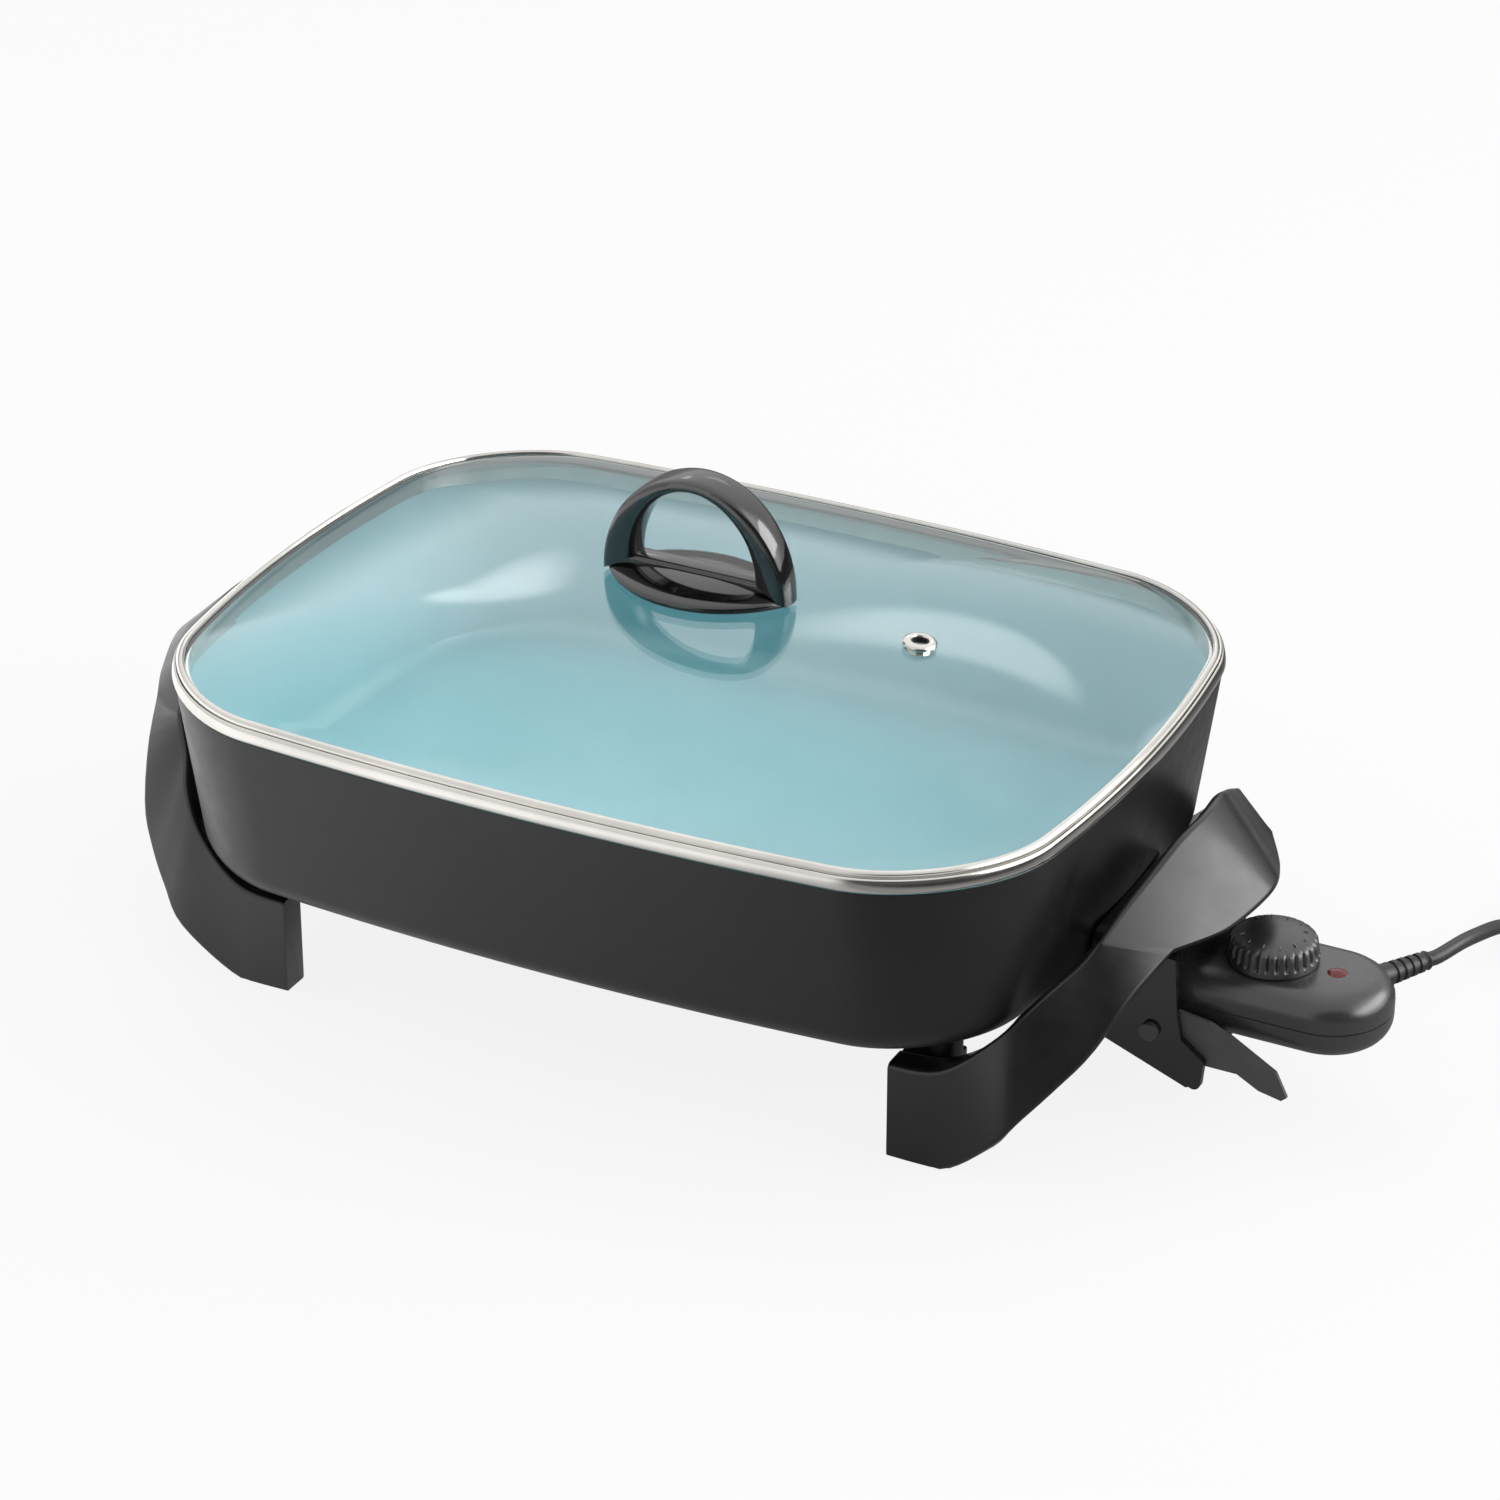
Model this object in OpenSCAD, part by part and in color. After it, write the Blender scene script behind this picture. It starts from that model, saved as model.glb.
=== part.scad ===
// Electric skillet: a bowed rectangular pan with a lift-off domed glass lid, two arched handles that are
// also its feet, a sheathed heating element under the floor and a plug-in thermostat probe with its cord.
// Millimetres. +Z is up, the table is z = 0, and the object's own box is centred on the origin in X and Y.

/* [Pan] */
// Outside length of the pan at its mouth
pan_length = 398; // [380:1:410]
// Outside width of the pan at its mouth
pan_width = 297; // [285:1:310]
// Radius of the four corners at the mouth
pan_corner = 60; // [56:1:64]
// How far each short side bows outwards
end_bow = 16; // [10:1:18]
// How far each long side bows outwards
side_bow = 11; // [7:1:13]
// Height of the mouth above the table
mouth_height = 136; // [132:1:142]
// Depth from the mouth to the underside of the floor
pan_depth = 78; // [75:1:80]
// How far the walls lean in from the mouth to the floor
wall_lean = 10; // [8:1:14]
// Outside radius between wall and floor
floor_radius = 13; // [10:1:16]
// Thickness of the cast walls
wall = 3.2; // [2.6:0.1:4]
// Width of the thickened lip at the mouth
lip_width = 5; // [4.5:0.1:5.4]
// Thickness of the cast floor
floor_thickness = 4; // [3.5:0.5:6]

/* [Heating element] */
// Diameter of the sheathed element
element_d = 7; // [6:0.5:8]
// Distance from the pan's underside down to the element's axis
element_drop = 8; // [7:0.5:9]
// Length of the element loop between its tube axes
element_length = 290; // [280:5:295]
// Width of the element loop between its tube axes
element_width = 160; // [150:5:170]
// Radius of the loop's four bends
element_bend = 28; // [22:1:34]
// Radius of the two bends where the loop turns out to its terminals
neck_bend = 14; // [13:1:15]
// Width of the cast rail that holds the element
rail_width = 14; // [13:0.5:16]
// Distance between the two terminal pins
pin_spacing = 34; // [32:1:36]
// Diameter of a terminal pin
pin_d = 5; // [4:0.5:6]
// Length of the pins beyond the element's sheath
pin_length = 46; // [42:1:46]

/* [Handles] */
// Distance from the pan's centre to the inner end of each foot
foot_x = 137; // [130:1:142]
// Distance from the pan's long centre line to the outer face of each foot
foot_y = 107; // [102:1:112]
// Height of a foot's shoulder above the table
foot_height = 42; // [38:1:46]
// Depth of a foot from its outer face inwards
foot_depth = 13; // [10:1:14]
// Thickness of the grip
grip_thickness = 6; // [4.5:0.5:8]
// Gap between the pan's mouth and the inner edge of the grip
grip_gap = 26; // [22:1:34]
// How much further out the outer edge of the grip lies
grip_width = 27; // [24:1:34]
// Height of the grip's inner edge above the table
grip_top = 122; // [116:1:130]
// How much lower the outer edge of the grip lies
grip_fall = 28; // [22:1:30]
// Thickness of the screwed flange on each foot
flange_thickness = 5; // [4:0.5:7]

/* [Lid] */
// Width of the steel rim beyond the pan's mouth
rim_overhang = 1; // [0.5:0.1:2]
// Height of the steel rim's outer band
rim_height = 5.7; // [5:0.1:7]
// Distance from the pan's mouth outline in to the edge of the visible glass
rim_lip = 4; // [3.5:0.5:6]
// Sheet thickness of the rim's skirt
rim_sheet = 0.8; // [0.6:0.1:1]
// Thickness of the glass
glass_thickness = 4; // [3.5:0.1:4.2]
// Rise of the glass dome above its flat edge
dome_rise = 27.5; // [20:0.5:34]
// Distance of the steam vent from the lid's centre
vent_x = 98; // [85:1:110]
// Diameter of the steam vent's bore in the glass
vent_bore = 10; // [9:0.5:11]
// Diameter of the vent grommet's flange
vent_flange = 14; // [12:0.5:18]

/* [Lid knob] */
// Length of the knob along its loop
knob_length = 84; // [74:1:92]
// Height of the knob
knob_height = 48; // [42:1:54]
// Width of the knob's base
knob_base_width = 50; // [44:1:56]
// Height of the base at the middle
knob_base_height = 7; // [6:0.5:8]
// Thickness of the loop at its crown
loop_crown = 5; // [4:0.5:7]
// Thickness of the loop at its two legs
loop_leg = 12; // [10:0.5:14]
// Width of the loop at its crown
loop_width = 17; // [15:1:22]
// Diameter of the screw that holds the knob
knob_screw_d = 5; // [4:0.5:6]

/* [Probe] */
// Width of the probe housing
probe_width = 52; // [51:1:54]
// Height of the probe housing
probe_height = 27; // [26:1:30]
// Length of the probe housing beyond the inlet's face
probe_length = 75; // [72:1:84]
// Wall thickness of the probe housing
probe_wall = 2.2; // [1.8:0.1:2.6]
// Diameter of the sensor rod
rod_d = 6; // [5:0.5:7]
// Length of the sensor rod beyond the probe's face
rod_length = 78; // [60:1:85]
// Diameter of the dial
dial_d = 37; // [33:1:40]
// Height of the dial
dial_height = 12; // [11:0.5:15]
// Distance of the dial's axis from the inlet's face
dial_x = 25; // [23:1:28]
// Diameter of the dial's shaft
shaft_d = 6; // [5:0.5:7]
// Diameter of the indicator lens
lens_d = 8; // [7:0.5:9]

/* [Inlet] */
// Width of the moulded inlet housing
inlet_width = 72; // [70:1:76]
// Distance of the inlet's face from the pan's centre
inlet_face = 228; // [227:1:230]
// Height of the inlet housing's roof above the terminal axis
inlet_rise = 30; // [28:1:32]
// Thickness of the guard's sheet steel
guard_sheet = 1.6; // [1.2:0.1:2]

/* [Cord] */
// Diameter of the cord
cord_d = 6; // [5:0.5:6.5]
// Diameter of the strain relief where it leaves the probe
relief_root = 10; // [9:0.5:11]
// Diameter of the strain relief's tip
relief_tip = 8; // [7:0.5:9]
// Spacing of the plug's two blades
blade_spacing = 12.7; // [12.5:0.1:13]

/* [Clearances] */
// Gap between pieces that are screwed or pressed together
seat = 0.1; // [0.05:0.05:0.2]
// Gap between pieces that come apart or turn
free = 0.3; // [0.25:0.05:0.5]
// Radial clearance of a shaft or rod that slides or turns in its hole
running = 0.08; // [0.04:0.01:0.1]

/* [Hidden] */

// Colours
black_enamel = [0.10, 0.10, 0.11];
phenolic = [0.08, 0.08, 0.08];
cast_aluminium = [0.62, 0.62, 0.63];
sheath_grey = [0.30, 0.30, 0.31];
porcelain = [0.92, 0.90, 0.85];
steel = [0.72, 0.73, 0.75];
clear_glass = [0.75, 0.85, 0.88, 0.45];
silicone = [0.15, 0.15, 0.15];
brass = [0.80, 0.66, 0.35];
lamp_glass = [0.95, 0.70, 0.55];
ruby = [0.75, 0.08, 0.08];

// Overlap of cutting shapes, and the smoothness of round pieces
eps = 1;
round_fn = 64;
small_fn = 40;

// Pan
half_length = pan_length / 2;
half_width = pan_width / 2;
lean_angle = atan(wall_lean / pan_depth);
underside = mouth_height - pan_depth;
floor_top = underside + floor_thickness;
inner_radius = floor_radius - wall;
lip_depth = 4;
lip_edge = 0.6;
corner_steps = 10;
side_steps = 9;
arc_steps = 5;

// The element, the handles and the inlet are given for a pan of this length, mouth height and underside;
// they move with the pan's ends, its mouth and its underside
usual_length = 398;
usual_mouth = 136;
usual_underside = 58;
reach = (pan_length - usual_length) / 2;
inlet_x = inlet_face + reach;
foot_out = foot_x + reach;
shoulder_z = foot_height + underside - usual_underside;
crown_z = grip_top + mouth_height - usual_mouth;

// The whole object is centred between its left grip and the end of the probe
grip_inner = half_length + grip_gap;
grip_outer = grip_inner + grip_width;
probe_end = inlet_x + probe_length;
pan_x = (grip_outer - probe_end) / 2;

// Heating element and the terminals at its right-hand end
element_z = underside - element_drop;
element_half_l = element_length / 2 + reach;
element_half_w = element_width / 2;
pin_y = pin_spacing / 2;
neck_x = element_half_l + neck_bend;
pin_recess = 5;
pin_end = inlet_x - pin_recess;
sheath_end = pin_end - pin_length;
insulator_start = sheath_end;
insulator_length = 7;
insulator_d = 8.4;
well_length = 61;
well_tail = 10;
well_end = neck_x + well_tail;
well_start = well_end - well_length;
well_width = 13;
well_drop = 5;
rail_outer = element_bend + rail_width / 2;
web_depth = 7;
web_lap = 5;
web_half_w = pin_y - rail_width / 2 + 1;

// Handles: the arch from the front foot up to the middle of the grip, as fractions
// [inner edge: out, across, up, outer edge: out, across, up, share of the foot's depth]
arch = [
    [0.00, 1.00, 0.00, 0.00, 1.00, 0.00, 1.00],
    [0.26, 1.00, 0.04, 0.20, 1.00, 0.00, 1.00],
    [0.51, 0.95, 0.26, 0.41, 1.05, 0.23, 0.60],
    [0.65, 0.86, 0.43, 0.51, 1.00, 0.37, 0.25],
    [0.75, 0.73, 0.55, 0.60, 0.93, 0.50, 0],
    [0.82, 0.63, 0.65, 0.68, 0.84, 0.63, 0],
    [0.88, 0.51, 0.78, 0.76, 0.67, 0.82, 0],
    [0.93, 0.36, 0.88, 0.83, 0.47, 0.95, 0],
    [0.98, 0.19, 0.98, 0.94, 0.25, 0.95, 0],
    [1.00, 0.00, 1.00, 1.00, 0.00, 1.00, 0]];
arch_substeps = 3;
edge_round = 2.4;
foot_length = 25;
lug_out = 16;
lug_in = 20;
lug_x = foot_out + lug_out;
lug_y = foot_y - lug_in;
lug_r = 6.5;
sole_cut = 1;
rib_width = 7;
handle_screw_d = 4;
handle_screw_head = 8;
handle_screw_grip = 0.75 * (underside - shoulder_z);
head_height = 2.4;

// Inlet housing and guard
terminal_clear = 2.2;
shroud_length = 38;
shroud_back = inlet_x - shroud_length;
shroud_wall = 3;
back_wall = 4;
roof_z = element_z + inlet_rise;
shroud_corner = 5;
hook_reach = 8;
hook_drop = 28;
hook_r = 3;
shroud_lug_out = 4;
shroud_lug_side = 12;
shroud_lug_x = neck_x + shroud_lug_out;
shroud_lug_y = pin_y + shroud_lug_side;
shroud_lug_r = 6.5;
shroud_lug_drop = 6;
shroud_flange = 4;
flange_lap = 9;
flange_start = shroud_lug_x - flange_lap;
small_screw_d = 3.4;
small_screw_head = 7.5;
lug_screw_depth = 10;
cheek_y = inlet_width / 2;
guard_y = cheek_y - shroud_wall - seat;
guard_reach = 46;
guard_drop = 28;
guard_setback = 12;
guard_start = shroud_back + guard_setback;
guard_web_z = element_z - 0.75 * guard_drop;
guard_screw_in = 11;
guard_screw_down = 9;
guard_screw_x = inlet_x - guard_screw_in;
guard_screw_z = element_z - guard_screw_down;

// Lid
rim_bottom = mouth_height + free;
rim_crease = rim_bottom + rim_height;
rim_slope = 2.4;
rim_ridge = rim_crease + rim_slope;
glass_lift = 3;
glass_z = mouth_height + glass_lift;
glass_top = glass_z + glass_thickness;
slot_inset = 1;
skirt_inset = 5.5;
skirt_depth = 5;
dome_steps = 9;
dome_edge = rim_lip + 1;
dome_half = half_length - dome_edge;
vent_rho = vent_x / dome_half;
vent_z = glass_top + dome_rise * (1 - pow(vent_rho, 3));
vent_tilt = atan(3 * dome_rise * pow(vent_rho, 2) / dome_half);
vent_wall = 1.4;
vent_lip = 1.6;
vent_roll = 1.2;
gasket_thickness = 1;
glass_crown = glass_top + dome_rise;
knob_z = glass_crown + gasket_thickness;
knob_half = knob_length / 2;
base_half_w = knob_base_width / 2;
base_arc = (pow(knob_half, 2) + pow(base_half_w, 2)) / (2 * base_half_w);
base_edge = 2.5;
base_fall = knob_base_height - base_edge;
base_dome = (pow(knob_half, 2) + pow(base_fall, 2)) / (2 * base_fall);
loop_foot_width = 10;
bar_height = 8.6;
washer_d = 18;
washer_thickness = 1.6;
washer_z = glass_crown - glass_thickness - washer_thickness - seat;
knob_screw_head = 9;
knob_screw_bite = 6.5;

// Probe
insertion = 28;
probe_x = inlet_x - insertion;
probe_below = 12;
probe_z = element_z - probe_below;
probe_top = probe_z + probe_height;
probe_r = probe_width / 2;
round_x = probe_end - probe_r;
split_rise = 13;
split_z = probe_z + split_rise;
top_corner = 10;
base_corner = 10;
plate_thickness = 3;
shell_x = probe_x + plate_thickness;
plug_in = 10;
socket_d = 8;
socket_length = 20;
dial_axis = inlet_x + dial_x;
dial_z = probe_top + free;
dial_grooves = 24;
dial_groove_r = 1.6;
shaft_bite = 8;
switch_length = 30;
switch_x = dial_axis - switch_length / 2;
switch_width = 24;
switch_height = 14;
switch_rise = 20;
switch_top = probe_z + switch_rise;
lens_gap = 8.5;
lens_x = dial_axis + dial_d / 2 + lens_gap;
lens_dome = 1.2;
lens_length = 5;
lamp_d = 5;
post_r = 3.4;
post_drop = 4;
post_in = 8;
post_front = 19;
post_back = 14;
post_y = pin_y - post_in;
posts = [
    [probe_x + post_front, post_y], [probe_x + post_front, -post_y], [probe_end - post_back, -post_y]];
probe_screw_d = 3;
probe_screw_head = 5.6;

// Cord: points picked by hand from the strain relief to the coil, and from the coil to the plug
relief_angle = 60;
relief_in = 12;
relief_side = 14;
relief_rise = 20;
relief_start = [probe_end - relief_in, relief_side, probe_z + relief_rise];
relief_length = 26;
relief_direction = [cos(relief_angle), sin(relief_angle), 0];
relief_end = relief_start + relief_length * relief_direction;
cord_route = [
    relief_end + seat * relief_direction, relief_end + 3 * relief_direction, relief_end + 6 * relief_direction,
    [probe_end + 8, 58, 57], [probe_end + 10, 74, 53], [probe_end + 10, 90, 47], [probe_end + 9, 105, 40],
    [probe_end + 7, 120, 31], [probe_end + 5, 135, 21], [probe_end + 3, 150, 12], [probe_end + 1, 164, 5],
    [probe_end + 1, 178, 3.2]];
coil_centre = [probe_end + 35, 178];
coil_radius = 31;
coil_layers = 2;
tail_route = [
    [probe_end + 35, 212, 9], [probe_end + 47, 212, 9], [probe_end + 61, 212, 9], [probe_end + 75, 212, 9]];
cord_sides = 10;
cord_substeps = 2;
plug_size = [32, 27, 18];
plug_neck = 12;
plug_flare = 9;
blade_root = 12;
blade_length = 17;
blade_height = 6.35;
blade_thickness = 1.5;

// Points of the pan's bowed outline, moved inwards by d, counter-clockwise from above
function corner_points(q, hx, hy, r) = [
    for (i = [0:corner_steps])
        let (a = 90 * q + 90 * i / corner_steps)
            [(q == 0 || q == 3 ? 1 : -1) * (hx - r) + r * cos(a), (q < 2 ? 1 : -1) * (hy - r) + r * sin(a)]];
function side_points(from, to) = [for (i = [1:side_steps - 1]) from + (to - from) * i / side_steps];
function bowed(p, hx, hy) = [
    p[0] * (1 - end_bow / half_length * pow(p[1] / hy, 2)),
    p[1] * (1 - side_bow / half_width * pow(p[0] / hx, 2))];
function outline(d) =
    let (hx = half_length - d, hy = half_width - d, r = pan_corner - d)
    let (corners = [for (q = [0:3]) corner_points(q, hx, hy, r)])
    [for (q = [0:3]) each concat(
        [for (p = corners[q]) bowed(p, hx, hy)],
        [for (p = side_points(corners[q][corner_steps], corners[(q + 1) % 4][0])) bowed(p, hx, hy)])];
function ring(d, z) = [for (p = outline(d)) [p[0], p[1], z]];

// Rounded edge where a leaning wall, moved inwards by d, meets a floor at height z
function foot_arc(d, z, r) =
    let (zc = z + r, dc = r * cos(lean_angle) + wall_line(zc - r * sin(lean_angle)) + d)
    [for (i = [0:arc_steps]) let (a = lean_angle + (90 - lean_angle) * i / arc_steps)
        [dc - r * cos(a), zc - r * sin(a)]];
function wall_line(z) = (mouth_height - z) * tan(lean_angle);
function reversed(list) = [for (i = [len(list) - 1:-1:0]) list[i]];

// Catmull-Rom curve through a list of points, with the same number of steps in every span
function spline(points, steps) =
    let (last = len(points) - 1)
    concat([for (k = [0:last - 1], i = [0:steps - 1])
        let (a = points[max(k - 1, 0)], b = points[k], c = points[k + 1], d = points[min(k + 2, last)], t = i / steps)
            (2 * b + (c - a) * t + (2 * a - 5 * b + 4 * c - d) * t * t + (3 * b - a - 3 * c + d) * t * t * t) / 2],
        [points[last]]);
function unit(v) = v / norm(v);

// Solid whose skin runs through rings of points; the rings close on themselves when capped is false
module skin(rings, capped = true) {
    n = len(rings[0]);
    m = len(rings);
    sides = [
        for (k = [0:m - (capped ? 2 : 1)], i = [0:n - 1])
            let (j = (i + 1) % n, u = ((k + 1) % m) * n, l = k * n)
                each [[l + i, u + i, u + j], [l + i, u + j, l + j]]];
    caps = capped ? [[for (i = [0:n - 1]) i], [for (i = [n - 1:-1:0]) (m - 1) * n + i]] : [];
    polyhedron([for (r = rings) each r], concat(sides, caps));
}

// Round tube along a smooth curve through the points
function tube_ring(p, t, r) =
    let (u = unit(cross([0, 0, 1], t)), v = cross(t, u))
    [for (i = [0:cord_sides - 1]) let (a = 360 * i / cord_sides) p + r * (cos(a) * u + sin(a) * v)];
module tube(points, r) {
    path = spline(points, cord_substeps);
    last = len(path) - 1;
    skin([for (i = [0:last]) tube_ring(path[i], unit(path[min(i + 1, last)] - path[max(i - 1, 0)]), r)]);
}

module placed() {
    translate([pan_x, 0, 0]) children();
}

module both_sides() {
    children();
    mirror([0, 1, 0]) children();
}

module along_x(x, length) {
    translate([x, 0, 0]) rotate([90, 0, 90]) linear_extrude(length) children();
}

module across_y(y, width) {
    translate([0, y + width / 2, 0]) rotate([90, 0, 0]) linear_extrude(width) children();
}

module rod_x(x, length, d, y = 0, z = 0) {
    translate([x, y, z]) rotate([0, 90, 0]) cylinder(h = length, d = d, $fn = small_fn);
}

// Pan-head screw pointing up, its head's seating face at z = 0
module screw_up(d, head, grip) {
    translate([0, 0, -head_height]) cylinder(h = head_height, d = head, $fn = small_fn);
    translate([0, 0, -eps]) cylinder(h = grip + eps, d = d, $fn = small_fn);
}

/* Pan and its heated base */

module pan() {
    outer = concat(
        reversed(foot_arc(0, underside, floor_radius)),
        [[0, mouth_height - lip_edge], [lip_edge, mouth_height]]);
    inner = concat(
        [[lip_width - lip_edge, mouth_height], [lip_width, mouth_height - lip_edge],
            [lip_width, mouth_height - lip_depth],
            [wall / cos(lean_angle) + wall_line(mouth_height - 2 * lip_depth), mouth_height - 2 * lip_depth]],
        foot_arc(wall / cos(lean_angle), floor_top, inner_radius));
    color(black_enamel) placed() skin([for (p = concat(outer, inner)) ring(p[0], p[1])]);
}

// Sweeps a section, centred on the origin, along the element's loop and out to its two terminals
module straight_run(from, to) {
    along = to - from;
    translate([from[0], from[1], element_z]) rotate([0, 0, atan2(along[1], along[0])])
        rotate([90, 0, 90]) linear_extrude(norm(along)) children();
}

module bend_run(centre, r, from) {
    translate([centre[0], centre[1], element_z]) rotate([0, 0, from])
        rotate_extrude(angle = 90, $fn = round_fn) translate([r, 0]) children();
}

module element_run() {
    l = element_half_l;
    w = element_half_w;
    b = element_bend;
    straight_run([b - l, w], [l - b, w]) children();
    straight_run([b - l, -w], [l - b, -w]) children();
    straight_run([-l, b - w], [-l, w - b]) children();
    bend_run([b - l, w - b], b, 90) children();
    bend_run([b - l, b - w], b, 180) children();
    for (s = [0, 1]) mirror([0, s, 0]) {
        bend_run([l - b, w - b], b, 0) children();
        straight_run([l, pin_y + neck_bend], [l, w - b]) children();
        bend_run([neck_x, pin_y + neck_bend], neck_bend, 180) children();
        straight_run([neck_x, pin_y], [sheath_end, pin_y]) children();
    }
}

module casting_lug(x, y, r, bottom) {
    translate([x, y, bottom]) cylinder(h = underside - bottom, r = r, $fn = round_fn);
}

module lug_rib(s) {
    bend_centre = [element_half_l - element_bend, element_half_w - element_bend];
    start = bend_centre + (rail_outer - 1) * [cos(45), sin(45)];
    along = [lug_x, lug_y] - start;
    mirror([s < 0 ? 1 : 0, 0, 0]) translate([start[0], start[1], element_z])
        rotate([0, 0, atan2(along[1], along[0])]) translate([0, -rib_width / 2, 0])
            cube([norm(along), rib_width, element_drop]);
}

module base_casting() {
    color(cast_aluminium) placed() difference() {
        union() {
            element_run() difference() {
                translate([-rail_width / 2, 0]) square([rail_width, element_drop]);
                circle(d = element_d + 2 * seat, $fn = small_fn);
            }
            both_sides() {
                for (s = [-1, 1]) {
                    casting_lug(s * lug_x, lug_y, lug_r, shoulder_z + seat);
                    lug_rib(s);
                }
                casting_lug(shroud_lug_x, shroud_lug_y, shroud_lug_r, element_z - shroud_lug_drop);
            }
            translate([well_start, -well_width / 2, element_z - well_drop])
                cube([well_end - well_start, well_width, element_drop + well_drop]);
            translate([neck_x - web_lap, -web_half_w, underside - web_depth])
                cube([well_end - neck_x + web_lap, 2 * web_half_w, web_depth]);
        }
        rod_x(well_start - eps, well_end - well_start + 2 * eps, rod_d + 2 * running, 0, element_z);
        both_sides() {
            for (s = [-1, 1])
                translate([s * lug_x, lug_y, shoulder_z])
                    cylinder(h = handle_screw_grip + eps, d = handle_screw_d + 2 * seat, $fn = small_fn);
            translate([shroud_lug_x, shroud_lug_y, element_z - shroud_lug_drop - eps])
                cylinder(h = lug_screw_depth + 2 * eps, d = small_screw_d + 2 * seat, $fn = small_fn);
        }
    }
}

module heating_element() {
    color(sheath_grey) placed() element_run() circle(d = element_d, $fn = small_fn);
}

module pin_insulators() {
    color(porcelain) placed() both_sides() difference() {
        rod_x(insulator_start, insulator_length, insulator_d, pin_y, element_z);
        rod_x(insulator_start - eps, insulator_length + 2 * eps, pin_d + 2 * seat, pin_y, element_z);
    }
}

module terminal_pins() {
    color(steel) placed() both_sides() {
        rod_x(sheath_end, pin_length - pin_d / 4, pin_d, pin_y, element_z);
        rod_x(sheath_end, pin_length, pin_d / 2, pin_y, element_z);
    }
}

/* Handles */

function arch_inner(s) = [
    foot_out + s[0] * (grip_inner - foot_out), -foot_y * s[1], shoulder_z + s[2] * (crown_z - shoulder_z)];
function arch_outer(s) = [
    foot_out + s[3] * (grip_outer - foot_out), -foot_y * s[4], s[5] * (crown_z - grip_fall + sole_cut) - sole_cut];
function far_side(p) = [p[0], -p[1], p[2]];
function whole_arch(half) = concat(half, [for (i = [len(half) - 2:-1:0]) far_side(half[i])]);

// Points across the band at one station: a flat strip from its outer to its inner edge, rounded at both
function band_ring(outer, inner, t, depth) =
    let (w = unit(inner - outer), n = unit(cross(t, w)), width = norm(inner - outer))
    let (e = edge_round, k = edge_round * (1 - cos(45)))
    [for (q = [[0, e], [0, depth - e], [k, depth - k], [e, depth], [width - e, depth], [width - k, depth - k],
            [width, depth - e], [width, e], [width - k, k], [width - e, 0], [e, 0], [k, k]])
        outer + q[0] * w - q[1] * n];

module handle() {
    inner = spline(whole_arch([for (s = arch) arch_inner(s)]), arch_substeps);
    outer = spline(whole_arch([for (s = arch) arch_outer(s)]), arch_substeps);
    share = [for (s = arch) grip_thickness + s[6] * (foot_depth - grip_thickness)];
    depth = spline(concat(share, [for (i = [len(share) - 2:-1:0]) share[i]]), arch_substeps);
    last = len(inner) - 1;
    mid = (inner + outer) / 2;
    difference() {
        union() {
            skin([for (i = [0:last]) band_ring(
                outer[i], inner[i], unit(mid[min(i + 1, last)] - mid[max(i - 1, 0)]), depth[i])]);
            both_sides() translate([foot_out, lug_y - lug_r, shoulder_z - flange_thickness])
                cube([foot_length - edge_round, foot_y - foot_depth - lug_y + lug_r + eps, flange_thickness]);
        }
        both_sides() translate([lug_x, lug_y, shoulder_z - flange_thickness - eps])
            cylinder(h = flange_thickness + 2 * eps, d = handle_screw_d + 2 * seat, $fn = small_fn);
        translate([foot_out - eps, -foot_y - foot_depth, -foot_height])
            cube([grip_outer - foot_out, 2 * (foot_y + foot_depth), foot_height]);
    }
}

module handle_screws() {
    both_sides() translate([lug_x, lug_y, shoulder_z - flange_thickness])
        screw_up(handle_screw_d, handle_screw_head, flange_thickness + handle_screw_grip);
}

module handle_left() {
    color(phenolic) placed() mirror([1, 0, 0]) handle();
}

module handle_right() {
    color(phenolic) placed() handle();
}

module handle_screws_left() {
    color(steel) placed() mirror([1, 0, 0]) handle_screws();
}

module handle_screws_right() {
    color(steel) placed() handle_screws();
}

/* Inlet housing and guard */

// Side view of the housing: a hook under the probe, a notch for the guard, a nearly upright face, and a
// back that leans along the pan's wall
module shroud_side() {
    hook = [inlet_x + hook_reach, element_z - hook_drop];
    knee_z = mouth_height - (half_length + free - shroud_back) / tan(lean_angle);
    polygon([
        [shroud_back, element_z - 0.57 * hook_drop],
        [shroud_back + 1.1 * hook_reach, element_z - 0.64 * hook_drop],
        hook - [hook_r, hook_r], hook + [hook_r, 0], [hook[0] + hook_reach / 2, element_z - 0.64 * hook_drop],
        [inlet_x + hook_reach / 4, element_z - 0.36 * hook_drop], [inlet_x, element_z],
        [inlet_x - hook_reach / 4, roof_z],
        [half_length + free - wall_line(roof_z), roof_z], [shroud_back, knee_z]]);
    translate(hook) circle(r = hook_r, $fn = small_fn);
}

// End view of the housing: two cheeks under a roof with rounded shoulders
module shroud_end(inset) {
    w = cheek_y - inset;
    r = shroud_corner - inset;
    top = roof_z - inset;
    translate([-w, 0]) square([2 * w, top - r]);
    translate([-w + r, 0]) square([2 * (w - r), top]);
    for (s = [-1, 1]) translate([s * (w - r), top - r]) circle(r = r, $fn = small_fn);
}

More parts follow.
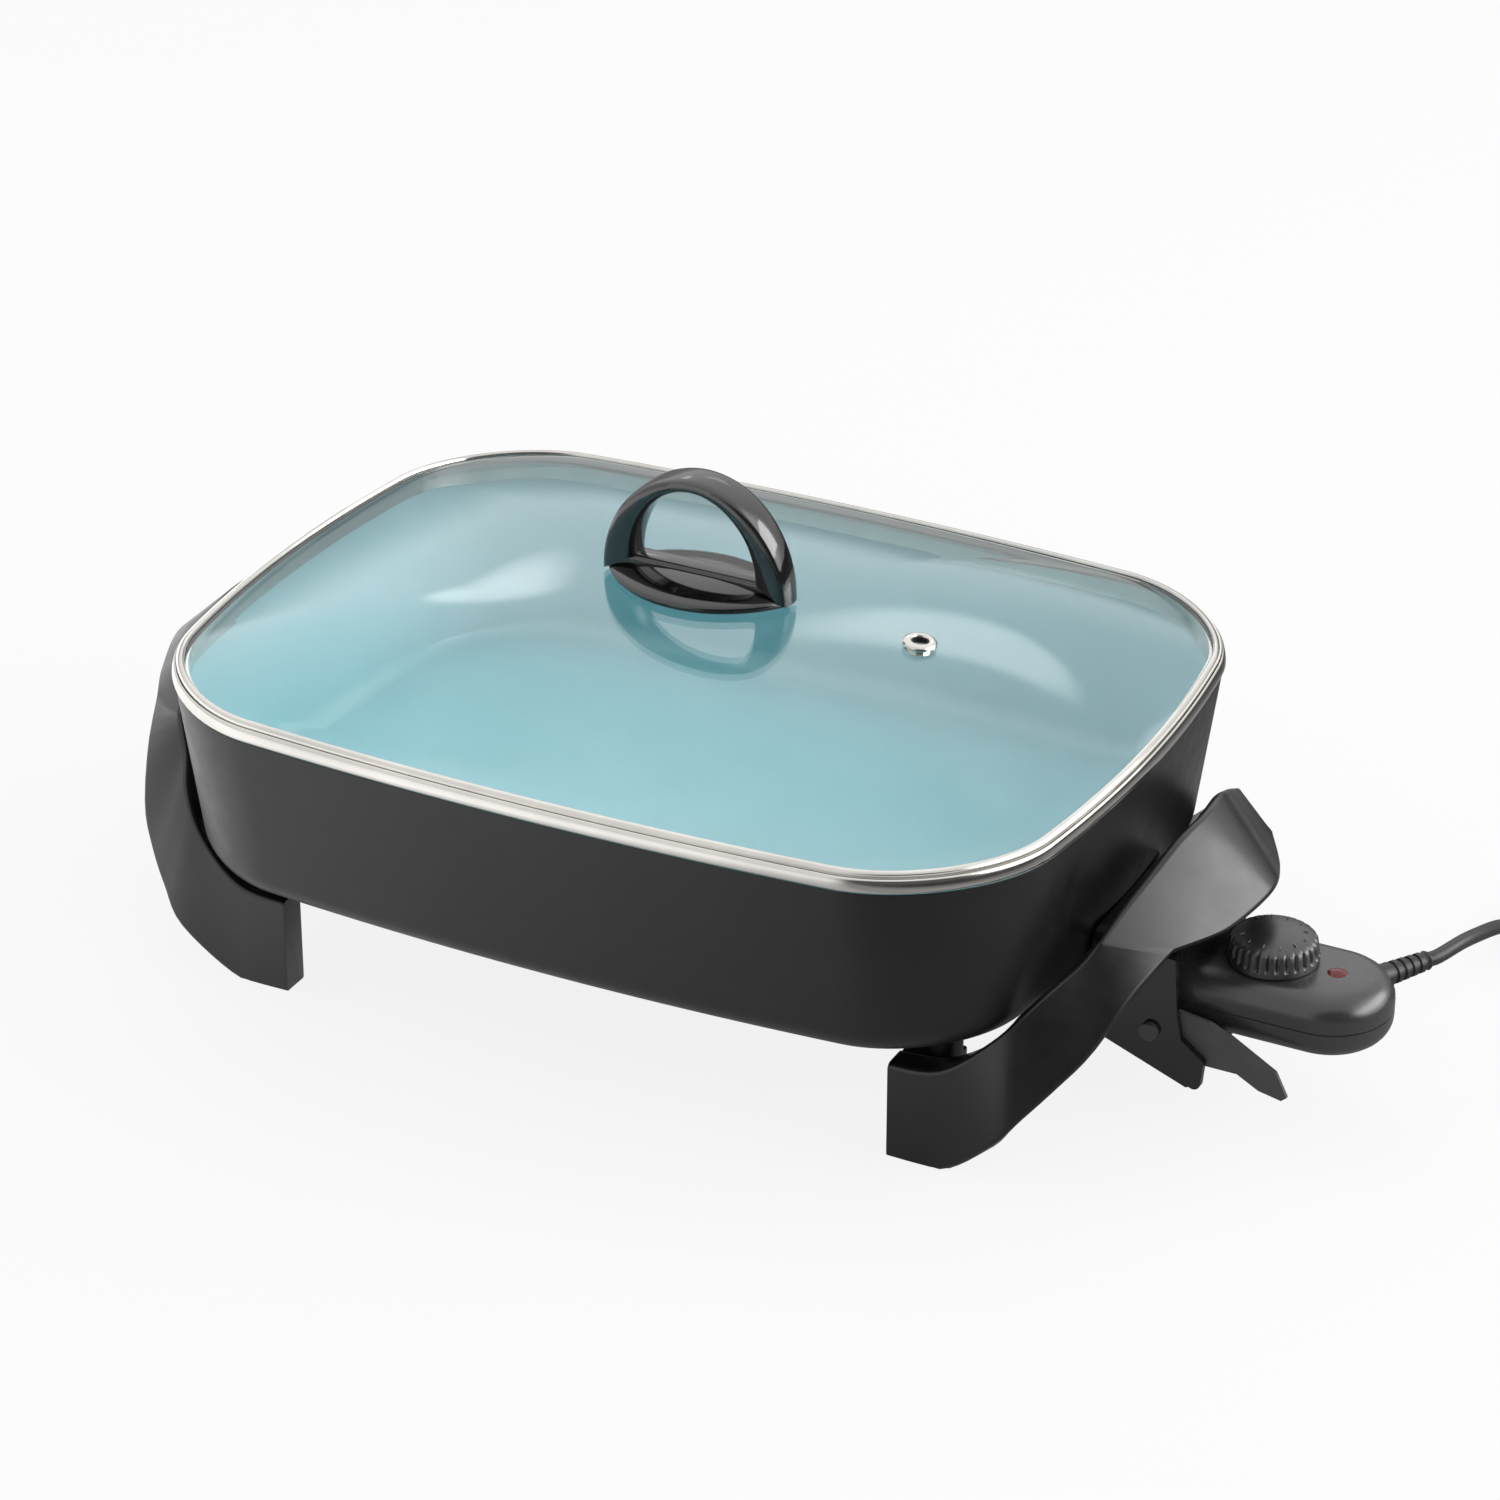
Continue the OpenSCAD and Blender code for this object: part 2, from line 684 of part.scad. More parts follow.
module inlet_shroud() {
    flange_top = element_z - shroud_lug_drop - seat;
    color(phenolic) placed() difference() {
        union() {
            intersection() {
                across_y(0, inlet_width + 2 * eps) shroud_side();
                along_x(shroud_back, shroud_length + 2 * hook_reach) difference() {
                    shroud_end(0);
                    translate([0, -eps]) shroud_end(shroud_wall);
                }
            }
            intersection() {
                across_y(0, inlet_width + 2 * eps) shroud_side();
                along_x(shroud_back, back_wall) shroud_end(0);
            }
            translate([flange_start, -cheek_y, flange_top - shroud_flange])
                cube([shroud_back + back_wall - flange_start, inlet_width, shroud_flange]);
        }
        both_sides() {
            rod_x(shroud_back - eps, back_wall + 2 * eps, pin_d + 2 * terminal_clear, pin_y, element_z);
            translate([shroud_lug_x, shroud_lug_y, flange_top - shroud_flange - eps])
                cylinder(h = shroud_flange + 2 * eps, d = small_screw_d + 2 * seat, $fn = small_fn);
            translate([guard_screw_x, cheek_y + eps, guard_screw_z]) rotate([90, 0, 0])
                cylinder(h = shroud_wall + 2 * eps, d = small_screw_d + 2 * seat, $fn = small_fn);
        }
        rod_x(shroud_back - eps, back_wall + 2 * eps, rod_d + 2 * terminal_clear, 0, element_z);
    }
}

module shroud_screws() {
    flange_bottom = element_z - shroud_lug_drop - seat - shroud_flange;
    color(steel) placed() both_sides() translate([shroud_lug_x, shroud_lug_y, flange_bottom])
        screw_up(small_screw_d, small_screw_head, shroud_flange + lug_screw_depth);
}

// Side view of a guard wing: it drops from the housing's face to a point beside the probe
module guard_wing() {
    polygon([
        [guard_start, guard_web_z], [guard_start, element_z + 0.04 * guard_drop],
        [inlet_x - 0.04 * guard_reach, element_z + 0.04 * guard_drop],
        [inlet_x + 0.28 * guard_reach, element_z - 0.04 * guard_drop],
        [inlet_x + 0.48 * guard_reach, element_z - 0.18 * guard_drop],
        [inlet_x + 0.89 * guard_reach, element_z - 0.57 * guard_drop],
        [inlet_x + guard_reach, element_z - 0.93 * guard_drop],
        [inlet_x + 0.95 * guard_reach, element_z - guard_drop],
        [inlet_x + 0.74 * guard_reach, element_z - 0.93 * guard_drop],
        [inlet_x + 0.54 * guard_reach, guard_web_z]]);
}

module probe_guard() {
    color(steel) placed() difference() {
        union() {
            both_sides() across_y(guard_y - guard_sheet / 2, guard_sheet) guard_wing();
            translate([guard_start, -guard_y, guard_web_z])
                cube([shroud_length, 2 * guard_y, guard_sheet]);
        }
        both_sides() translate([guard_screw_x, guard_y + eps, guard_screw_z]) rotate([90, 0, 0])
            cylinder(h = guard_sheet + 2 * eps, d = small_screw_d + 2 * seat, $fn = small_fn);
    }
}

module guard_screws() {
    color(steel) placed() both_sides() translate([guard_screw_x, cheek_y, guard_screw_z])
        rotate([90, 0, 0]) screw_up(small_screw_d, small_screw_head, shroud_wall + guard_sheet + 1);
}

/* Lid */

module lid_rim() {
    profile = [
        [lip_edge - rim_overhang, rim_bottom], [0.2 - rim_overhang, rim_bottom + 0.9],
        [-rim_overhang, rim_bottom + rim_height / 2], [0.2 - rim_overhang, rim_crease - 0.9],
        [0.8 - rim_overhang, rim_crease], [rim_lip - 1, rim_ridge], [rim_lip, rim_ridge],
        [rim_lip + 0.4, glass_top + seat], [slot_inset, glass_top + seat], [slot_inset, glass_z - seat],
        [skirt_inset + rim_sheet, glass_z - seat], [skirt_inset + rim_sheet, mouth_height - skirt_depth],
        [skirt_inset, mouth_height - skirt_depth], [skirt_inset, rim_bottom]];
    color(steel) placed() skin([for (p = profile) ring(p[0], p[1])], false);
}

// Height of the dome above its flat edge at a share of the way from the crown to the edge
function dome(rho) = dome_rise * (1 - pow(rho, 3));
function dome_ring(rho, z) = [for (p = outline(dome_edge)) [p[0] * rho, p[1] * rho, z + dome(rho)]];
function dome_share(i) = 0.06 + 0.94 * i / dome_steps;

module lid_glass() {
    edge = slot_inset + seat;
    under = [for (i = [0:dome_steps]) dome_ring(dome_share(i), glass_z)];
    over = [for (i = [dome_steps:-1:0]) dome_ring(dome_share(i), glass_top)];
    color(clear_glass) placed() difference() {
        skin(concat(under, [ring(edge, glass_z), ring(edge, glass_top)], over));
        translate([0, 0, glass_crown - glass_thickness - eps])
            cylinder(h = glass_thickness + 2 * eps, d = knob_screw_d + 2 * seat, $fn = small_fn);
        on_vent() translate([0, 0, -2 * glass_thickness])
            cylinder(h = 3 * glass_thickness, d = vent_bore, $fn = small_fn);
    }
}

module on_vent() {
    translate([vent_x, 0, vent_z]) rotate([0, vent_tilt, 0]) children();
}

// Turned grommet: a domed flange on the glass, a neck through it and a rolled edge below
module vent_grommet() {
    flange = vent_flange / 2;
    neck = vent_bore / 2 - seat;
    hole = neck - vent_wall;
    color(steel) placed() on_vent() rotate_extrude($fn = round_fn) polygon([
        [hole, vent_lip], [hole, -glass_thickness - vent_lip], [neck + vent_roll, -glass_thickness - vent_lip],
        [neck + vent_roll, -glass_thickness - 0.5], [neck, -glass_thickness - 0.5], [neck, free],
        [flange, free], [flange, 0.9], [flange - vent_roll, vent_lip + 0.1], [hole + 1, vent_lip + 0.5]]);
}

// Plan of the knob's base, pointed at both ends like a lens
module knob_plan(inset) {
    intersection_for (s = [-1, 1]) translate([0, s * (base_arc - base_half_w)])
        circle(r = base_arc - inset, $fn = 2 * round_fn);
}

module knob_gasket() {
    color(silicone) placed() translate([0, 0, glass_crown]) difference() {
        linear_extrude(gasket_thickness) knob_plan(1.5);
        translate([0, 0, -eps])
            cylinder(h = gasket_thickness + 2 * eps, d = knob_screw_d + 2 * seat, $fn = small_fn);
    }
}

// Half of an ellipse standing on the base: the loop seen from the front, and the opening in it
module half_ellipse(across, up) {
    intersection() {
        scale([across, up]) circle(r = 1, $fn = 2 * round_fn);
        translate([-across, 0]) square([2 * across, up]);
    }
}

module lid_knob() {
    color(phenolic) placed() translate([0, 0, knob_z]) difference() {
        union() {
            intersection() {
                linear_extrude(knob_base_height) knob_plan(0);
                translate([0, 0, knob_base_height - base_dome]) sphere(r = base_dome, $fn = 4 * round_fn);
            }
            intersection() {
                across_y(0, loop_width) difference() {
                    half_ellipse(knob_half, knob_height);
                    translate([0, bar_height])
                        half_ellipse(knob_half - loop_leg, knob_height - loop_crown - bar_height);
                }
                along_x(-knob_half, knob_length) polygon([
                    [-loop_foot_width / 2, 0], [loop_foot_width / 2, 0], [loop_width / 2, knob_height * 0.7],
                    [loop_width / 2, knob_height - 2], [loop_width / 2 - 2, knob_height],
                    [2 - loop_width / 2, knob_height], [-loop_width / 2, knob_height - 2],
                    [-loop_width / 2, knob_height * 0.7]]);
            }
        }
        translate([0, 0, -eps])
            cylinder(h = knob_screw_bite + 2 * eps, d = knob_screw_d + 2 * seat, $fn = small_fn);
    }
}

module knob_washer() {
    color(steel) placed() translate([0, 0, washer_z]) difference() {
        cylinder(h = washer_thickness, d = washer_d, $fn = round_fn);
        translate([0, 0, -eps])
            cylinder(h = washer_thickness + 2 * eps, d = knob_screw_d + 2 * seat, $fn = small_fn);
    }
}

module knob_screw() {
    color(steel) placed() translate([0, 0, washer_z])
        screw_up(knob_screw_d, knob_screw_head, knob_z - washer_z + knob_screw_bite);
}

/* Probe */

// Half of the housing's end view, from its middle plane outwards
module housing_half(inset) {
    w = probe_r - inset;
    top = probe_top - inset;
    base = probe_z + inset;
    rt = top_corner - inset;
    rb = base_corner - inset;
    translate([0, base + rb]) square([w, top - rt - base - rb]);
    translate([0, base]) square([w - rb, rb]);
    translate([0, top - rt]) square([w - rt, rt]);
    intersection() {
        union() {
            translate([w - rt, top - rt]) circle(r = rt, $fn = small_fn);
            translate([w - rb, base + rb]) circle(r = rb, $fn = small_fn);
        }
        translate([0, base]) square([w, top - base]);
    }
}

// Thin-walled shell between two heights, with a square open front and a half-round back
module shell_half(low, high) {
    intersection() {
        difference() {
            housing_half(0);
            housing_half(probe_wall);
        }
        translate([0, low]) square([probe_r, high - low]);
    }
}

module shell(low, high) {
    along_x(shell_x, round_x - shell_x) {
        shell_half(low, high);
        mirror([1, 0]) shell_half(low, high);
    }
    translate([round_x, 0, 0]) rotate([0, 0, -90]) rotate_extrude(angle = 180, $fn = round_fn)
        shell_half(low, high);
}

module relief_axis(d) {
    translate(relief_start) rotate([0, 90, relief_angle])
        cylinder(h = relief_length, d = d, $fn = small_fn);
}

module probe_top_shell() {
    color(phenolic) placed() difference() {
        union() {
            shell(split_z, probe_top);
            for (p = posts) translate([p[0], p[1], split_z])
                cylinder(h = probe_top - split_z - probe_wall / 2, r = post_r, $fn = small_fn);
        }
        for (p = posts) translate([p[0], p[1], split_z - eps])
            cylinder(h = probe_height / 3, d = probe_screw_d + 2 * seat, $fn = small_fn);
        translate([dial_axis, 0, probe_top - 2 * probe_wall])
            cylinder(h = 3 * probe_wall, d = shaft_d + 2 * running, $fn = small_fn);
        translate([lens_x, 0, probe_top - 2 * probe_wall])
            cylinder(h = 3 * probe_wall, d = lens_d + 2 * seat, $fn = small_fn);
        relief_axis(relief_root);
    }
}

module probe_base_shell() {
    color(phenolic) placed() difference() {
        union() {
            shell(probe_z, split_z - seat);
            for (p = posts) translate([p[0], p[1], probe_z + probe_wall / 2])
                cylinder(h = split_z - seat - probe_z - probe_wall / 2, r = post_r, $fn = small_fn);
        }
        for (p = posts) translate([p[0], p[1], probe_z - eps]) {
            cylinder(h = probe_height, d = probe_screw_d + 2 * seat, $fn = small_fn);
            cylinder(h = head_height + eps, d = probe_screw_head + 2 * seat, $fn = small_fn);
        }
    }
}

module probe_screws() {
    color(steel) placed() for (p = posts) translate([p[0], p[1], probe_z + head_height])
        screw_up(probe_screw_d, probe_screw_head, split_z - probe_z + probe_height / 4 - head_height);
}

module probe_nose() {
    color(phenolic) placed() difference() {
        union() {
            along_x(probe_x, plate_thickness) for (s = [0, 1]) mirror([s, 0]) housing_half(0);
            along_x(shell_x - eps, plug_in + eps) for (s = [0, 1]) mirror([s, 0])
                housing_half(probe_wall + seat);
        }
        both_sides() {
            rod_x(probe_x - eps, plate_thickness + 2 * eps, pin_d + 2 * free, pin_y, element_z);
            rod_x(shell_x, plug_in + eps, socket_d + 2 * seat, pin_y, element_z);
        }
        rod_x(probe_x - eps, plate_thickness + plug_in + 2 * eps, rod_d + 2 * seat, 0, element_z);
    }
}

module contact_sockets() {
    color(brass) placed() both_sides() difference() {
        rod_x(shell_x, socket_length, socket_d, pin_y, element_z);
        rod_x(shell_x - eps, socket_length + 2 * eps, pin_d + 2 * free, pin_y, element_z);
    }
}

module sensor_rod() {
    color(steel) placed() {
        rod_x(probe_x - rod_length, rod_length + plate_thickness + plug_in + 4, rod_d, 0, element_z);
        rod_x(probe_x - rod_length - 1.5, eps + 1.5, rod_d - 2, 0, element_z);
    }
}

module thermostat_switch() {
    rod_back = probe_x + plate_thickness + plug_in + 4;
    color(porcelain) placed() {
        translate([switch_x, -switch_width / 2, switch_top - switch_height])
            cube([switch_length, switch_width, switch_height]);
        translate([rod_back, -3, element_z - 1]) cube([switch_x - rod_back + eps, 6, 1.5]);
    }
}

module neon_lamp() {
    bottom = switch_top - switch_height;
    color(lamp_glass) placed() translate([lens_x, 0, bottom])
        cylinder(h = probe_top - lens_length - seat - bottom, d = lamp_d, $fn = small_fn);
}

module indicator_lens() {
    cap_r = (pow(lens_d / 2, 2) + pow(lens_dome, 2)) / (2 * lens_dome);
    color(ruby) placed() translate([lens_x, 0, probe_top + lens_dome]) intersection() {
        translate([0, 0, -lens_length - lens_dome])
            cylinder(h = lens_length + lens_dome, d = lens_d, $fn = small_fn);
        translate([0, 0, -cap_r]) sphere(r = cap_r, $fn = 2 * round_fn);
    }
}

// Turned dial with a crowned top, finger grooves round it and a bore for its shaft
module dial() {
    r = dial_d / 2;
    crown = 4;
    cap_r = (pow(r, 2) + pow(crown, 2)) / (2 * crown);
    color(phenolic) placed() translate([dial_axis, 0, dial_z]) difference() {
        intersection() {
            cylinder(h = dial_height, r1 = r, r2 = r - 1.5, $fn = 2 * round_fn);
            translate([0, 0, dial_height - cap_r]) sphere(r = cap_r, $fn = 2 * round_fn);
        }
        for (i = [0:dial_grooves - 1]) rotate([0, 0, 360 * i / dial_grooves])
            translate([r + dial_groove_r / 2, 0, 3]) cylinder(h = dial_height, r = dial_groove_r, $fn = small_fn);
        translate([0, 0, -eps]) cylinder(h = shaft_bite + eps, d = shaft_d + 2 * seat, $fn = small_fn);
    }
}

module dial_shaft() {
    color(brass) placed() translate([dial_axis, 0, switch_top + seat])
        cylinder(h = dial_z + shaft_bite - seat - switch_top - seat, d = shaft_d, $fn = small_fn);
}

/* Cord */

// Tapered sleeve with grooves that let it flex, in line with the cord
module strain_relief() {
    inner = (relief_root - 2 * seat) / 2;
    color(phenolic) placed() translate(relief_start) rotate([0, 90, relief_angle]) difference() {
        union() {
            cylinder(h = relief_length, r1 = inner, r2 = relief_tip / 2, $fn = small_fn);
            cylinder(h = 2, r = inner, $fn = small_fn);
        }
        for (i = [0:3]) translate([0, 0, relief_length - 4 - 4 * i]) difference() {
            cylinder(h = 1.4, r = relief_root, $fn = small_fn);
            cylinder(h = 1.4, r = relief_tip / 2 - 0.6, $fn = small_fn);
        }
    }
}

module power_cord() {
    color(phenolic) placed() tube(cord_route, cord_d / 2);
}

module cord_coil() {
    side = coil_layers * cord_d;
    corner = cord_d / 2;
    color(phenolic) placed() translate([coil_centre[0], coil_centre[1], 0]) rotate_extrude($fn = 2 * round_fn)
        translate([coil_radius - side / 2, 0]) {
            translate([corner, 0]) square([side - 2 * corner, side]);
            translate([0, corner]) square([side, side - 2 * corner]);
            for (x = [corner, side - corner], y = [corner, side - corner])
                translate([x, y]) circle(r = corner, $fn = small_fn);
        }
}

module cord_tail() {
    color(phenolic) placed() tube(tail_route, cord_d / 2);
}

module plug_body() {
    start = tail_route[len(tail_route) - 1];
    color(phenolic) placed() translate([start[0], start[1], 0]) difference() {
        intersection() {
            translate([0, -plug_size[1] / 2, 0]) cube(plug_size);
            linear_extrude(plug_size[2]) polygon([
                [0, -plug_neck / 2], [0, plug_neck / 2], [plug_flare, plug_size[1] / 2],
                [plug_size[0], plug_size[1] / 2], [plug_size[0], -plug_size[1] / 2],
                [plug_flare, -plug_size[1] / 2]]);
        }
        for (s = [-1, 1])
            translate([plug_size[0] - blade_root, s * blade_spacing / 2 - blade_thickness / 2 - seat,
                    plug_size[2] / 2 - blade_height / 2 - seat])
                cube([blade_root + eps, blade_thickness + 2 * seat, blade_height + 2 * seat]);
    }
}

module plug_blades() {
    start = tail_route[len(tail_route) - 1];
    color(steel) placed() translate([start[0] + plug_size[0] - blade_root, start[1], 0])
        for (s = [-1, 1])
            translate([0, s * blade_spacing / 2 - blade_thickness / 2, plug_size[2] / 2 - blade_height / 2])
                cube([blade_length + blade_root, blade_thickness, blade_height]);
}

pan();
base_casting();
heating_element();
pin_insulators();
terminal_pins();
handle_left();
handle_right();
handle_screws_left();
handle_screws_right();
inlet_shroud();
shroud_screws();
probe_guard();
guard_screws();
lid_glass();
lid_rim();
vent_grommet();
knob_gasket();
lid_knob();
knob_washer();
knob_screw();
probe_top_shell();
probe_base_shell();
probe_nose();
contact_sockets();
sensor_rod();
thermostat_switch();
neon_lamp();
indicator_lens();
dial();
dial_shaft();
probe_screws();
strain_relief();
power_cord();
cord_coil();
cord_tail();
plug_body();
plug_blades();
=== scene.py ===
import math

import bmesh
import bpy
from mathutils import Matrix, Quaternion, Vector


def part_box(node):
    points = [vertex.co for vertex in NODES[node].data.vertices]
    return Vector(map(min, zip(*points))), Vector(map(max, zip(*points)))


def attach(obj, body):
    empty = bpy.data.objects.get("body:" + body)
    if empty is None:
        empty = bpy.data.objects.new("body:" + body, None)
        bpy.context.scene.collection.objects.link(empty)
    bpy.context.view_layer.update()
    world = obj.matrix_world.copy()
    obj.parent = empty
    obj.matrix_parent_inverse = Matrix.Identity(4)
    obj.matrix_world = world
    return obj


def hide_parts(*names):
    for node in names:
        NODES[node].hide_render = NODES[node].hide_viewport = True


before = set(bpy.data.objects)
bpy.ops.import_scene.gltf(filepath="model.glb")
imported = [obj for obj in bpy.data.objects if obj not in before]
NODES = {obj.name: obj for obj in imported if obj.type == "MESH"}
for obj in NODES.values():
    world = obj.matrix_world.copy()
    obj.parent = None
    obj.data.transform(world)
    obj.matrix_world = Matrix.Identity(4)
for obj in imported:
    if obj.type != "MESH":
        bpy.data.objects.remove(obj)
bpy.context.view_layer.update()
MM = 0.001

# ---------------------------------------------------------------- sizes that the pieces share

# In millimetres, and the lean of the pan's wall in radians
PAN_HALF_LENGTH = 199.0
PAN_HALF_WIDTH = 148.5
PAN_CORNER = 60.0
END_BOW = 16.0
SIDE_BOW = 11.0
MOUTH_Z = 136.0
UNDERSIDE_Z = 58.0
FLOOR_Z = 62.0
WALL_LEAN = 10.0
FLOOR_RADIUS = 13.0
WALL = 3.2
LIP_WIDTH = 5.0
LIP_DEPTH = 4.0
LIP_ROUND = 0.7
LEAN = math.atan(WALL_LEAN / (MOUTH_Z - UNDERSIDE_Z))
PAN_X = (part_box("pan")[0][0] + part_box("pan")[1][0]) / 2 / MM

RIM_BOTTOM = 136.3
RIM_CREASE = 142.0
GLASS_Z = 139.0
GLASS_THICKNESS = 4.0
DOME_RISE = 27.5
VENT_X = 98.0
PROBE_X = 200.0
PROBE_END = 303.0
PROBE_Z = 38.0
PROBE_TOP = 65.0
PROBE_R = 26.0
SPLIT_Z = 51.0
DIAL_X = 253.0
DIAL_Z = 65.3


def at(x, y, z):
    """A point given in millimetres from the pan's middle, on the table."""
    return Vector(((x + PAN_X) * MM, y * MM, z * MM))


# ---------------------------------------------------------------- camera

VIEW_AZIMUTH = math.radians(27.04)
VIEW_ELEVATION = math.radians(28.17)
VIEW_DISTANCE = 1949.5
VIEW_TARGET = at(57.6, -68.3, 142.0)
LENS = 120.0


def make_camera():
    """Long lens from the front right."""
    data = bpy.data.cameras.new("camera")
    data.sensor_width = 36.0
    data.lens = LENS
    camera = bpy.data.objects.new("camera", data)
    bpy.context.scene.collection.objects.link(camera)
    back = Vector((
        math.sin(VIEW_AZIMUTH) * math.cos(VIEW_ELEVATION),
        -math.cos(VIEW_AZIMUTH) * math.cos(VIEW_ELEVATION),
        math.sin(VIEW_ELEVATION)))
    camera.location = VIEW_TARGET + back * VIEW_DISTANCE * MM
    camera.rotation_euler = back.to_track_quat("Z", "Y").to_euler()
    bpy.context.scene.camera = camera
    bpy.context.scene.view_settings.view_transform = "Standard"


make_camera()

# ---------------------------------------------------------------- materials

NOISE_MIDDLE = (0.3, 0.7)


def new_material(name):
    """A new material with its nodes, its links and its main shader."""
    material = bpy.data.materials.new(name)
    material.use_nodes = True
    nodes = material.node_tree.nodes
    return material, nodes, material.node_tree.links, nodes["Principled BSDF"]


def noise(nodes, links, scale, detail=4.0, stretch=(1, 1, 1)):
    """A noise on the piece's own coordinates, in metres."""
    place = nodes.new("ShaderNodeTexCoord")
    turn = nodes.new("ShaderNodeMapping")
    turn.inputs["Scale"].default_value = stretch
    texture = nodes.new("ShaderNodeTexNoise")
    texture.inputs["Scale"].default_value = scale
    texture.inputs["Detail"].default_value = detail
    links.new(place.outputs["Object"], turn.inputs["Vector"])
    links.new(turn.outputs["Vector"], texture.inputs["Vector"])
    return texture.outputs["Fac"]


def tint(nodes, links, source, low, high, span=NOISE_MIDDLE):
    """Colours that run from low to high as the source runs over the span."""
    ramp = nodes.new("ShaderNodeValToRGB")
    for stop, position, colour in zip(ramp.color_ramp.elements, span, (low, high)):
        stop.position = position
        stop.color = (*colour, 1)
    links.new(source, ramp.inputs["Fac"])
    return ramp.outputs["Color"]


def remap(nodes, links, source, span, result, soft=False):
    """Values that run over the result as the source runs over the span, with soft ends or straight."""
    ramp = nodes.new("ShaderNodeMapRange")
    ramp.interpolation_type = "SMOOTHSTEP" if soft else "LINEAR"
    for name, value in zip(("From Min", "From Max", "To Min", "To Max"), (*span, *result)):
        ramp.inputs[name].default_value = value
    links.new(source, ramp.inputs["Value"])
    return ramp.outputs["Result"]


def spread(nodes, links, source, low, high):
    """Values that run from low to high over the middle of a noise."""
    return remap(nodes, links, source, NOISE_MIDDLE, (low, high))


def calc(nodes, links, operation, *sources):
    """A sum on sockets and numbers."""
    node = nodes.new("ShaderNodeMath")
    node.operation = operation
    for place, source in zip(node.inputs, sources):
        if isinstance(source, bpy.types.NodeSocket):
            links.new(source, place)
        else:
            place.default_value = source
    return node.outputs[0]


def relief(nodes, links, source, strength, depth):
    """Normals of a fine relief; the depth is in metres."""
    bump = nodes.new("ShaderNodeBump")
    bump.inputs["Strength"].default_value = strength
    bump.inputs["Distance"].default_value = depth
    links.new(source, bump.inputs["Height"])
    return bump.outputs["Normal"]


def surface(name, low, high, rough, grain, skin, metal=0.0, stretch=(1, 1, 1), cloud=45.0, shine=0.5):
    """A finish with cloudy colour between low and high, roughness between two values, and a fine relief.

    grain is the relief's scale, and skin its (strength, depth in metres)."""
    material, nodes, links, shader = new_material(name)
    shader.inputs["Metallic"].default_value = metal
    shader.inputs["Specular IOR Level"].default_value = shine
    clouds = noise(nodes, links, cloud, 5.0, stretch)
    links.new(tint(nodes, links, clouds, low, high), shader.inputs["Base Color"])
    wipe = noise(nodes, links, cloud * 2.3, 3.0, stretch)
    links.new(spread(nodes, links, wipe, *rough), shader.inputs["Roughness"])
    fine = noise(nodes, links, grain, 3.0, stretch)
    links.new(relief(nodes, links, fine, *skin), shader.inputs["Normal"])
    return material


def grey(value):
    """A colour with equal shares of red, green and blue."""
    return (value, value, value)


def make_enamel():
    """Satin black coating with a slight orange peel."""
    return surface("enamel_black", grey(0.005), grey(0.007), (0.34, 0.42), 900, (0.25, 0.00015))


def make_ceramic():
    """Pale turquoise cooking surface with a fine darker speckle."""
    material, nodes, links, shader = new_material("ceramic_turquoise")
    base = tint(nodes, links, noise(nodes, links, 30, 4.0), (0.245, 0.530, 0.590), (0.270, 0.555, 0.615))
    speckle = tint(nodes, links, noise(nodes, links, 1900, 2.0), grey(0.88), grey(1.0), (0.30, 0.40))
    mix = nodes.new("ShaderNodeMix")
    mix.data_type = "RGBA"
    mix.blend_type = "MULTIPLY"
    mix.inputs["Factor"].default_value = 0.6
    links.new(base, mix.inputs["A"])
    links.new(speckle, mix.inputs["B"])
    links.new(mix.outputs["Result"], shader.inputs["Base Color"])
    links.new(spread(nodes, links, noise(nodes, links, 60, 3.0), 0.22, 0.27), shader.inputs["Roughness"])
    fine = noise(nodes, links, 1100, 2.0)
    links.new(relief(nodes, links, fine, 0.15, 0.0001), shader.inputs["Normal"])
    return material


def make_glass():
    """Clear tempered glass that lets lamplight through to the pan below."""
    material, nodes, links, shader = new_material("tempered_glass")
    shader.inputs["Base Color"].default_value = (0.96, 0.99, 0.985, 1)
    shader.inputs["Transmission Weight"].default_value = 1.0
    shader.inputs["IOR"].default_value = 1.5
    links.new(spread(nodes, links, noise(nodes, links, 25, 2.0), 0.0, 0.015), shader.inputs["Roughness"])
    wave = noise(nodes, links, 14, 1.0)
    links.new(relief(nodes, links, wave, 0.04, 0.001), shader.inputs["Normal"])
    clear = nodes.new("ShaderNodeBsdfTransparent")
    clear.inputs["Color"].default_value = (0.95, 0.98, 0.975, 1)
    path = nodes.new("ShaderNodeLightPath")
    mix = nodes.new("ShaderNodeMixShader")
    links.new(path.outputs["Is Shadow Ray"], mix.inputs["Fac"])
    links.new(shader.outputs["BSDF"], mix.inputs[1])
    links.new(clear.outputs["BSDF"], mix.inputs[2])
    links.new(mix.outputs["Shader"], nodes["Material Output"].inputs["Surface"])
    return material


def make_lens():
    """Clear red plastic over the lamp."""
    material, nodes, links, shader = new_material("red_lens")
    links.new(
        tint(nodes, links, noise(nodes, links, 300, 2.0), (0.30, 0.012, 0.014), (0.40, 0.03, 0.03)),
        shader.inputs["Base Color"])
    shader.inputs["Transmission Weight"].default_value = 0.6
    links.new(spread(nodes, links, noise(nodes, links, 500, 2.0), 0.05, 0.12), shader.inputs["Roughness"])
    return material


